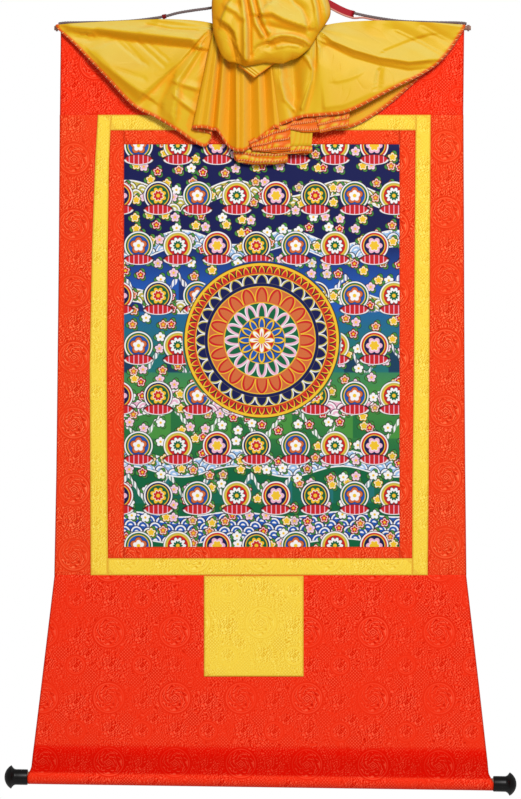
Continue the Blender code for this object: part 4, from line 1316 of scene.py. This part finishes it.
def noise(tree, a, b, scale, detail=2.0):
    """Cloudy variation from 0 to 1 over two numbers."""
    inputs = {"Vector": joined_place(tree, a, b), "Scale": scale, "Detail": detail}
    return Number(tree, add_node(tree, "TexNoise", inputs).outputs["Fac"])


class Coats:
    """A colour laid on in coats, each where its mask is 1."""

    def __init__(self, tree, colour):
        self.tree = tree
        self.colour = colour

    def lay(self, colour, mask):
        """Lays on a colour, by a Mix node whose colours are its inputs 6 and 7 and its output 2."""
        node = add_node(self.tree, "Mix", {"Factor": mask, 6: self.colour, 7: colour})
        node.data_type = "RGBA"
        self.colour = node.outputs[2]


def bumped(tree, shader, height, depth):
    """Raises a surface by a height from 0 to 1, with its depth in millimetres."""
    node = add_node(tree, "Bump", {"Height": height, "Distance": depth * MM})
    feed(tree, shader.inputs["Normal"], node.outputs["Normal"])


# The brocade's woven design, in millimetres
ROUNDEL_PITCH = 74.0
ROUNDEL_RADIUS = 16.5
LINE_PITCH = 3.1
STROKE_PITCH = 3.6
LATTICE_PITCH = 3.6
TWILL_PITCH = 0.9
RING_GAPS = 7

Spray = namedtuple("Spray", "kind across down size")
SPRAYS = [
    Spray("ring", 37.0, 37.0, 10.5),
    Spray("strokes", 37.0, 4.0, 13.0),
    Spray("strokes", 2.0, 36.0, 12.0),
    Spray("lattice", 20.0, 24.0, 8.0),
    Spray("lattice", -21.0, -25.0, 8.5),
    Spray("strokes", -24.0, 24.0, 9.0),
    Spray("lattice", 30.0, -18.0, 6.5),
]


def broken_strokes(tree, a, b):
    """Short curled strokes, like those of a fine scroll, from -1 to 1."""
    curl = noise(tree, a, b, 0.13, 1.0) * 20.0
    bend = noise(tree, b, a, 0.10, 1.0) * 16.0
    return ((a + b * 0.35) * (2 * pi / STROKE_PITCH) + curl).wave() * ((b - a * 0.3) * 1.25 + bend).wave()


def woven_design(tree, u, v):
    """The brocade's design as one number, from -1 in its sunk lines to 1 on its raised threads."""
    a, b = u.cell(ROUNDEL_PITCH), v.cell(ROUNDEL_PITCH)
    away = reach(a, b)
    bend = noise(tree, a, b, 0.15, 1.0)
    rings = (away * (2 * pi / LINE_PITCH) + bend * 24.0).wave()
    gaps = (turn_of(a, b) * (2 * pi * RING_GAPS) + away * 1.1).wave().between((-0.9, -0.2), (-0.2, 1.0))
    rings = rings * gaps
    heart = ((abs(a) + abs(b)) * (2 * pi / LINE_PITCH) + bend * 9.0).wave()
    figure = rings + (heart - rings) * away.below(5.0, 0.8)
    rim = away.line(ROUNDEL_RADIUS, 1.2) - away.line(ROUNDEL_RADIUS + 1.5, 1.3)
    relief = figure * away.below(ROUNDEL_RADIUS - 1.6, 0.6) + rim * 0.5
    covered = away.below(ROUNDEL_RADIUS + 2.5, 0.8)
    for spray in SPRAYS:
        a = u.cell(ROUNDEL_PITCH, -spray.across)
        b = v.cell(ROUNDEL_PITCH, -spray.down)
        away = reach(a, b)
        if spray.kind == "ring":
            drawn = away.line(spray.size - 1.0, 1.2) - away.line(spray.size + 0.4, 1.2)
            drawn = drawn * 0.4 + broken_strokes(tree, a, b) * away.below(spray.size - 2.4) * 1.4
            within = away.below(spray.size + 1.4)
        elif spray.kind == "strokes":
            within = reach(a, b * 1.25).below(spray.size, 2.0)
            drawn = broken_strokes(tree, a, b) * 1.5
        else:
            within = (abs(a) + abs(b)).below(spray.size * 1.2, 1.0)
            drawn = (a + b).waves(LATTICE_PITCH).least((a - b).waves(LATTICE_PITCH)) + 0.35
        free = within * covered.rest()
        relief = relief * free.rest() + drawn * free
        covered = covered.greatest(within)
    return relief + broken_strokes(tree, u, v) * covered.rest()


# Each brocade's ground, its light threads, its dark lines, and the painted shade along its seams and edges
RED_SHADES = look(243, 50, 22), look(255, 92, 62), look(206, 18, 2), look(168, 34, 12)
STRIP_SHADES = look(238, 62, 26), look(255, 112, 68), look(204, 38, 8), look(168, 34, 12)
YELLOW_SHADES = look(247, 210, 70), look(255, 228, 104), look(224, 170, 40), look(206, 128, 34)


def brocade(name, ground, light, dark, edge, strength, deep=None):
    """Figured silk in one colour: its design shows by lighter raised threads and darker lines.

    Its edges get a painted shade along the seams. Deep gives the colour and the span of a band of painted
    shade where the cloth bends back.
    """
    made, tree, shader = new_material(name, ground, 0.5, 0.2)
    u, v = cloth_map(tree)
    worn = noise(tree, u, v, 0.02).between((0.35, 0.4), (0.65, 1.0)) * strength
    relief = woven_design(tree, u, v) * worn
    coats = Coats(tree, ground)
    # Painted shade where the bottom panel bends back to the roller: laid under the design, and again over
    # it at half strength
    if deep:
        colour, start, end = deep
        within = v.between((start - 3.0, 0.0), (start + 3.0, 1.0))
        within = within * v.between((end - 1.0, 1.0), (end + 1.5, 0.0))
        coats.lay(colour, within)
    coats.lay(light, relief.between((0.1, 0.0), (0.8, 1.0)))
    coats.lay(dark, relief.between((-0.1, 0.0), (-0.8, 1.0)))
    if deep:
        coats.lay(colour, within * 0.5)
    away = cloth_map(tree, HEM_MAP)[1]
    # Painted shade along the seams and turned edges
    coats.lay(edge, away.below(1.1, 0.9) * 0.7)
    feed(tree, shader.inputs["Base Color"], coats.colour)
    feed(tree, shader.inputs["Roughness"], relief.between((-0.5, 0.64), (0.8, 0.44)))
    shader.inputs["Specular Tint"].default_value = (*light, 1.0)
    twill = (u + v).waves(TWILL_PITCH) * 0.12
    bumped(tree, shader, relief * 0.6 + twill, 0.12)
    return made


# The silk's colours: bright is its own; pale is a painted highlight where it turns to the light; deep is
# its own deeper tone in clouds, and painted shade where it turns away; gathered is painted shade in deep
# folds and over the skirt; hem is the orange of its hems, and painted shade in the hollows of the hem bands
Shades = namedtuple("Shades", "bright pale deep gathered hem")
SILK_COLOURS = [(218, 176, 34), (222, 200, 104), (210, 141, 4), (234, 148, 10), (226, 84, 8)]
SILK_SHADES = Shades(*[look(*colour) for colour in SILK_COLOURS])


def satin(name, shades, skirt):
    """Thin glossy silk with fine creases, with painted light in its colour: a painted highlight where it
    turns to the light, and painted shade where it turns away, deep in its folds and over the skirt.
    """
    made, tree, shader = new_material(name, shades.bright, 0.4, 0.2)
    u, v = cloth_map(tree)
    clouds = noise(tree, u, v * 0.4, 0.035, 2.0)
    depth, tilt = cloth_map(tree, FOLD_MAP)
    coats = Coats(tree, shades.bright)
    coats.lay(shades.deep, clouds.between((0.4, 0.0), (0.75, 0.3)))
    # Painted highlight where the silk turns up to the light, and painted shade where it turns away
    coats.lay(shades.pale, tilt.between((0.14, 0.0), (0.46, 0.8)))
    coats.lay(shades.deep, tilt.between((-0.05, 0.0), (-0.4, 0.8)))
    middle, half = (skirt[0] + skirt[1]) / 2, (skirt[1] - skirt[0]) / 2
    # Painted shade over the skirt, in a deeper orange
    coats.lay(shades.gathered, abs(u - middle).below(half, 25.0) * v.between((0.0, 0.0), (12.0, 0.4)))
    # Painted shade where the silk lies deep in folds and under upper layers
    coats.lay(shades.gathered, depth.between((0.8, 0.0), (4.5, 0.6)))
    away = cloth_map(tree, HEM_MAP)[1]
    coats.lay(shades.hem, away.below(3.6, 1.4) * 0.9)
    feed(tree, shader.inputs["Base Color"], coats.colour)
    shader.inputs["Specular Tint"].default_value = (*look(255, 242, 190), 1.0)
    slack = noise(tree, u, v * 0.4, 0.06, 1.0)
    lengthwise, crosswise = u * 0.8 + v * 0.6, (v * 0.8 - u * 0.6) * 0.3
    creased = abs(noise(tree, lengthwise, crosswise, 0.05, 1.0) - 0.5).below(0.014, 0.014)
    creased = creased * clouds.between((0.42, 0.0), (0.56, 1.0))
    bumped(tree, shader, slack * 0.55 - creased * 0.16, 0.7)
    return made


def spun(name, colour, roughness, fuzz=0.3):
    """Cord or thread: a soft fuzz over its colour."""
    made, _, shader = new_material(name, colour, roughness, 0.2)
    shader.inputs["Sheen Weight"].default_value = fuzz
    shader.inputs["Sheen Roughness"].default_value = 0.5
    return made


# The picture: a made-up design of mountains, clouds, flowers and a round pattern, its sizes in millimetres
# from its middle, across and down
NAVY = look(14, 20, 78)
BLUE = look(30, 84, 170)
PALE_BLUE = look(150, 186, 226)
TEAL = look(30, 110, 110)
GREEN = look(8, 96, 58)
LEAF = look(70, 140, 60)
OLIVE = look(188, 176, 76)
GOLD = look(236, 190, 44)
ORANGE = look(206, 104, 56)
RED = look(196, 28, 34)
PINK = look(232, 176, 200)
WHITE = look(240, 238, 238)
INK = look(34, 18, 30)

PICTURE_HALF = 225.0
SCALLOP = (14.0, 7.0)
FLOWER_PITCH = 17.0
MEDALLION_PITCH = (44.0, 56.0)
MEDALLION_SHIFT = 6.0
STRIPE_PITCH = 10.4
ROUND_MIDDLE = -6.0
ROUND_RADIUS = 84.0
ROUND_MARGIN = 5.0
CANVAS_PITCH = 0.8


def sky_and_land(tree, y):
    """The ground colours: night sky at the top, blue, then green land."""
    ramp = tree.nodes.new("ShaderNodeValToRGB")
    stops = [(0.0, NAVY), (0.24, NAVY), (0.36, BLUE), (0.5, TEAL), (0.62, LEAF), (0.8, GREEN), (1.0, GREEN)]
    elements = ramp.color_ramp.elements
    for _ in stops[2:]:
        elements.new(0.5)
    for element, (at, colour) in zip(elements, stops):
        element.position = at
        element.color = (*colour, 1.0)
    feed(tree, ramp.inputs["Fac"], y.between((-PICTURE_HALF, 0.0), (PICTURE_HALF, 1.0)))
    return Coats(tree, ramp.outputs["Color"])


Range = namedtuple("Range", "base height pitch shift colour shade")
RANGES = [
    Range(-38.0, 44.0, 62.0, 31.0, BLUE, NAVY),
    Range(30.0, 40.0, 50.0, 8.0, TEAL, NAVY),
    Range(104.0, 44.0, 68.0, 34.0, LEAF, GREEN),
    Range(176.0, 36.0, 46.0, 12.0, TEAL, GREEN),
]


def mountains(coats, x, y):
    """Ranges of peaks with a shaded side and snow below their tops."""
    for each in RANGES:
        slope = x.cell(each.pitch, each.shift)
        rough = (x * 0.9).wave() * 1.2
        top = abs(slope) * (2 * each.height / each.pitch) + rough + (each.base - each.height)
        depth = y - top
        within = y.below(each.base, 1.0)
        coats.lay(each.colour, depth.between((-0.4, 0.0), (0.4, 1.0)) * within)
        shaded = slope.between((-0.5, 0.0), (0.5, 0.75)) * depth.between((0, 0.0), (1, 1.0))
        coats.lay(each.shade, shaded * within)
        snow = depth.line(4.2, 7.0) * (slope * 1.7).wave().between((-0.5, 0.2), (0.3, 1.0))
        coats.lay(WHITE, snow * within)
        coats.lay(INK, depth.line(0.0, 1.0) * within)


Bank = namedtuple("Bank", "middle half wobble colour")
BANKS = [
    Bank(-168.0, 8.0, 9.0, OLIVE),
    Bank(-112.0, 9.0, -8.0, PALE_BLUE),
    Bank(-50.0, 7.0, 7.0, OLIVE),
    Bank(64.0, 8.0, -7.0, PINK),
    Bank(132.0, 9.0, 6.0, PALE_BLUE),
    Bank(204.0, 15.0, 3.0, BLUE),
]


def cloud_banks(coats, x, y):
    """Banks of scalloped cloud with white edges, and waves of the same form along the foot."""
    width, height = SCALLOP
    for each in BANKS:
        b = y - (x / 19.0).wave() * each.wobble - each.middle
        within = abs(b).below(each.half, 0.8)
        row = (b / height).whole()
        shift = (row * 0.5).fraction() * width
        r = reach((x + shift).cell(width), (b / height).fraction() * height - 7.4)
        coats.lay(each.colour, within)
        coats.lay(INK, r.line(7.0, 0.9) * within)
        coats.lay(WHITE, r.line(5.6, 1.6) * within)
        coats.lay(WHITE, r.below(2.4) * within)
        coats.lay(WHITE, abs(b).line(each.half, 1.4))


def scattered_flowers(tree, coats, x, y, pitch, colours, kept):
    """Blossoms strewn over the ground, each with petals, a heart and leaves behind it."""
    place = joined_place(tree, x / pitch, y / pitch)
    spread = add_node(tree, "TexVoronoi", {"Vector": place, "Scale": 1.0, "Randomness": 0.75})
    spread.voronoi_dimensions = "2D"
    middle = add_node(tree, "SeparateXYZ", {"Vector": spread.outputs["Position"]})
    a = x - Number(tree, middle.outputs["X"]) * pitch
    b = y - Number(tree, middle.outputs["Y"]) * pitch
    chance = add_node(tree, "SeparateColor", {"Color": spread.outputs["Color"]})
    picked = Number(tree, chance.outputs["Red"])
    r = reach(a, b)
    turned = turn_of(a, b)
    leaf = r / (abs((turned * (3 * pi) + 0.6).wave()) * 0.7 + 0.3)
    coats.lay(LEAF, leaf.below(pitch * 0.46) * kept)
    coats.lay(INK, leaf.line(pitch * 0.46, 0.7) * kept)
    edge = r / (abs((turned * (5 * pi)).wave()) * 0.35 + 0.65)
    size = pitch * 0.34
    kinds = len(colours)
    for k, colour in enumerate(colours):
        coats.lay(colour, edge.below(size) * picked.line((k + 0.5) / kinds, 1.0 / kinds, 0.01) * kept)
    coats.lay(INK, edge.line(size, 0.9) * kept)
    coats.lay(WHITE, edge.line(size * 0.72, 0.8) * kept)
    coats.lay(GOLD, r.below(size * 0.24) * kept)


Medallion = namedtuple("Medallion", "rim halo flower heart petals")
MEDALLIONS = [
    Medallion(NAVY, GREEN, GOLD, RED, 8),
    Medallion(RED, NAVY, PINK, GOLD, 6),
    Medallion(OLIVE, RED, WHITE, GREEN, 10),
    Medallion(GREEN, BLUE, ORANGE, WHITE, 5),
]


def medallions(coats, x, y, kept):
    """Round flowers with a halo, each on a red petalled base, in staggered rows."""
    pitch_x, pitch_y = MEDALLION_PITCH
    row = (y / pitch_y + 0.5).whole()
    moved = x + (row * 0.5).fraction() * pitch_x + MEDALLION_SHIFT
    a = moved.cell(pitch_x)
    b = y.cell(pitch_y)
    r = reach(a, b)
    turned = turn_of(a, b)
    outer = pitch_x * 0.34
    coats.lay(INK, r.below(outer + 1.6) * kept)
    coats.lay(WHITE, r.below(outer + 0.9) * kept)
    kinds = len(MEDALLIONS)
    chosen = (((moved / pitch_x + 0.5).whole() * 3.0 + row * 2.0 + 40.0) / kinds + 0.01).fraction() * kinds
    for k, each in enumerate(MEDALLIONS):
        here = chosen.line(k + 0.04, 0.8, 0.01) * kept
        coats.lay(each.rim, r.below(outer - 0.6) * here)
        coats.lay(each.halo, r.below(outer * 0.8) * here)
        edge = r / (abs((turned * (each.petals * pi)).wave()) * 0.3 + 0.7)
        coats.lay(INK, edge.below(outer * 0.68) * here)
        coats.lay(each.flower, edge.below(outer * 0.62) * here)
        coats.lay(each.heart, edge.below(outer * 0.4) * here)
        coats.lay(WHITE, edge.line(outer * 0.4, 0.8) * here)
    coats.lay(GOLD, r.line(outer * 0.8, 1.0) * kept)
    coats.lay(GOLD, r.below(outer * 0.14) * kept)
    low = b - outer * 1.05
    base = reach(a * 0.36, low) / (outer * 0.36)
    stripes = abs(a.waves(STRIPE_PITCH))
    coats.lay(INK, base.below(1.16, 0.06) * kept)
    coats.lay(RED, base.below(1.0, 0.06) * kept)
    coats.lay(PINK, stripes.below(0.3, 0.12) * base.below(0.98, 0.06) * kept)
    coats.lay(WHITE, base.line(1.0, 0.14, 0.05) * low.below(0.0).rest() * kept)


Ring = namedtuple("Ring", "radius width ground petal edge count")
RINGS = [
    Ring(84.0, 8.0, RED, GOLD, INK, 56),
    Ring(74.0, 10.0, NAVY, OLIVE, WHITE, 28),
    Ring(60.0, 16.0, ORANGE, RED, GOLD, 20),
    Ring(42.0, 16.0, GREEN, PINK, WHITE, 16),
    Ring(26.0, 12.0, BLUE, GOLD, INK, 12),
    Ring(14.0, 14.0, RED, WHITE, GOLD, 8),
]


def round_pattern(coats, x, y):
    """Rings of petals about one middle, the largest form of the picture."""
    b = y - ROUND_MIDDLE
    r = reach(x, b)
    turned = turn_of(x, b)
    coats.lay(INK, r.below(ROUND_RADIUS + 3.4))
    coats.lay(GOLD, r.below(ROUND_RADIUS + 2.4))
    for ring in RINGS:
        coats.lay(ring.ground, r.below(ring.radius))
        share = ((r - (ring.radius - ring.width)) / ring.width).between((0.0, 0.0), (1.0, 1.0))
        arch = (share * share).rest().root()
        lobe = abs((turned * ring.count).cell(1.0)) * 2.0
        inside = (lobe - arch) * (pi * ring.radius / ring.count)
        band = (r - (ring.radius - ring.width)).between((-0.3, 0.0), (0.3, 1.0)) * r.below(ring.radius)
        coats.lay(ring.petal, inside.below(-0.9) * band)
        coats.lay(ring.edge, inside.line(-0.5, 1.2) * band)
        coats.lay(ring.ground, (inside + share * 1.5).below(-ring.width * 0.2, 0.4) * band)
        coats.lay(GOLD, r.line(ring.radius, 1.0))
    coats.lay(GOLD, r.below(4.0))


def canvas_weave(u, v):
    """The height of plain woven threads, from 0 to 1."""
    return u.waves(CANVAS_PITCH) * v.waves(CANVAS_PITCH) * 0.5 + 0.5


def picture(name):
    """The painted cloth, with a canvas grain."""
    made, tree, shader = new_material(name, GREEN, 0.55, 0.12)
    u, v = cloth_map(tree)
    left, right, top, bottom = PAINTING
    x = u - (left + right) / 2
    y = v - (top + bottom) / 2
    coats = sky_and_land(tree, y)
    mountains(coats, x, y)
    cloud_banks(coats, x, y)
    free = (reach(x, y - ROUND_MIDDLE) * -1.0).below(-ROUND_RADIUS - ROUND_MARGIN, 0.5)
    scattered_flowers(tree, coats, x, y, FLOWER_PITCH, [RED, PINK, WHITE, ORANGE, GOLD], free)
    medallions(coats, x, y, free)
    round_pattern(coats, x, y)
    feed(tree, shader.inputs["Base Color"], coats.colour)
    bumped(tree, shader, canvas_weave(u, v), 0.04)
    return made


def bare_canvas(name):
    """The back of the painted cloth: unpainted cotton, mottled where the paint's ground soaked in."""
    plain, soaked = look(206, 190, 156), look(176, 154, 116)
    made, tree, shader = new_material(name, plain, 0.85, 0.12)
    u, v = cloth_map(tree)
    coats = Coats(tree, plain)
    coats.lay(soaked, noise(tree, u, v, 0.012).between((0.35, 0.0), (0.7, 0.35)))
    feed(tree, shader.inputs["Base Color"], coats.colour)
    bumped(tree, shader, canvas_weave(u, v), 0.06)
    return made


def build_look():
    """Makes the materials, and every piece in its own."""
    # Painted shade for the bottom panel: a deeper red over the band where it bends back to the roller
    bend_shade = (look(226, 12, 0), BEND_FROM - PANEL_FIGURE[1], CREASE_DOWN - PANEL_FIGURE[1])
    red = brocade("red_brocade", *RED_SHADES, 1.0, bend_shade)
    strip_red = brocade("red_strip_brocade", *STRIP_SHADES, 1.0)
    yellow = brocade("yellow_brocade", *YELLOW_SHADES, 0.8)
    orange = spun("orange_thread", look(224, 84, 6), 0.7)
    pale = spun("pale_thread", look(250, 208, 120), 0.7)
    painted = picture("painted_cloth")
    black = new_material("black_lacquer", look(8, 6, 6), 0.36, 0.25)[0]
    twisted = spun("twisted_cord", look(112, 97, 96), 0.8)
    crimson = spun("crimson_thread", look(126, 4, 10), 0.7, 0.1)
    ribbon_red = spun("crimson_ribbon", look(166, 4, 26), 0.6, 0.05)
    lashing = spun("lashing_thread", look(150, 108, 96), 0.8)
    pale_edge = spun("pale_corded_edge", look(214, 146, 128), 0.7)
    wood = new_material("rod_wood", look(150, 110, 90), 0.6)[0]
    mount_panels(red, strip_red)
    frame_bands(yellow, strip_red)
    painting_and_patch(painted, bare_canvas("bare_canvas"), yellow)
    veil(orange, pale)
    cord, line = hanging_cord(twisted)
    tied = ties(crimson, lashing)
    ribbon(ribbon_red, pale_edge)
    knobs(black)
    for node in ("top_rod", "roller"):
        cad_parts[node].data.materials[0] = wood


# Floor, lights and camera

VIEW_ACROSS = -0.56
VIEW_DOWN = 416.0
VIEW_HEIGHT = 894.9
VIEW_DISTANCE = 3200.0
SENSOR = 36.0

# In metres and watts
FLOOR_RADIUS = 1.6
FLOOR_HEIGHT = -1.5
FLOOR_SIDES = 96
FLOOR_SHADE = (0.8, 0.8, 0.8)
Light = namedtuple("Light", "name place size power")
LIGHTS = [
    Light("key", (0.62, -2.65, 0.95), 0.9, 72),
    Light("fill", (-2.2, -2.6, -0.2), 2.0, 7),
]
WORLD_ON_OBJECTS = 0.3
WORLD_IN_VIEW = 1.0


def area_light(light, target):
    """A round light that faces its target."""
    data = bpy.data.lights.new(light.name, "AREA")
    data.shape = "DISK"
    data.size = light.size
    data.energy = light.power
    lamp = linked(light.name, data)
    lamp.location = light.place
    lamp.rotation_euler = (target - Vector(light.place)).to_track_quat("-Z", "Y").to_euler()


def studio():
    """The camera, a pale floor far below, the lights, and a white ground that lights the object softly."""
    scene = bpy.context.scene
    middle = point(VIEW_ACROSS, VIEW_DOWN, 0)
    data = bpy.data.cameras.new("camera")
    data.sensor_width = SENSOR
    data.lens = SENSOR * VIEW_DISTANCE / VIEW_HEIGHT
    scene.camera = linked("camera", data)
    scene.camera.location = middle + Vector((0, -VIEW_DISTANCE * MM, 0))
    scene.camera.rotation_euler = (radians(90), 0, 0)

    turns = [2 * pi * k / FLOOR_SIDES for k in range(FLOOR_SIDES)]
    ring = [Vector((FLOOR_RADIUS * cos(turn), FLOOR_RADIUS * sin(turn), FLOOR_HEIGHT)) for turn in turns]
    floor = mesh_piece("floor", ring, [tuple(range(FLOOR_SIDES))])
    floor.data.materials.append(new_material("pale_floor", FLOOR_SHADE, 0.8)[0])

    for light in LIGHTS:
        area_light(light, middle)
    world = bpy.data.worlds.new("world")
    world.use_nodes = True
    tree = world.node_tree
    background = tree.nodes["Background"]
    background.inputs["Color"].default_value = (1, 1, 1, 1)
    path = tree.nodes.new("ShaderNodeLightPath")
    inputs = {"Value": path.outputs["Is Camera Ray"], "To Min": WORLD_ON_OBJECTS, "To Max": WORLD_IN_VIEW}
    feed(tree, background.inputs["Strength"], add_node(tree, "MapRange", inputs).outputs["Result"])
    scene.world = world
    scene.view_settings.view_transform = "Standard"


build_look()
studio()
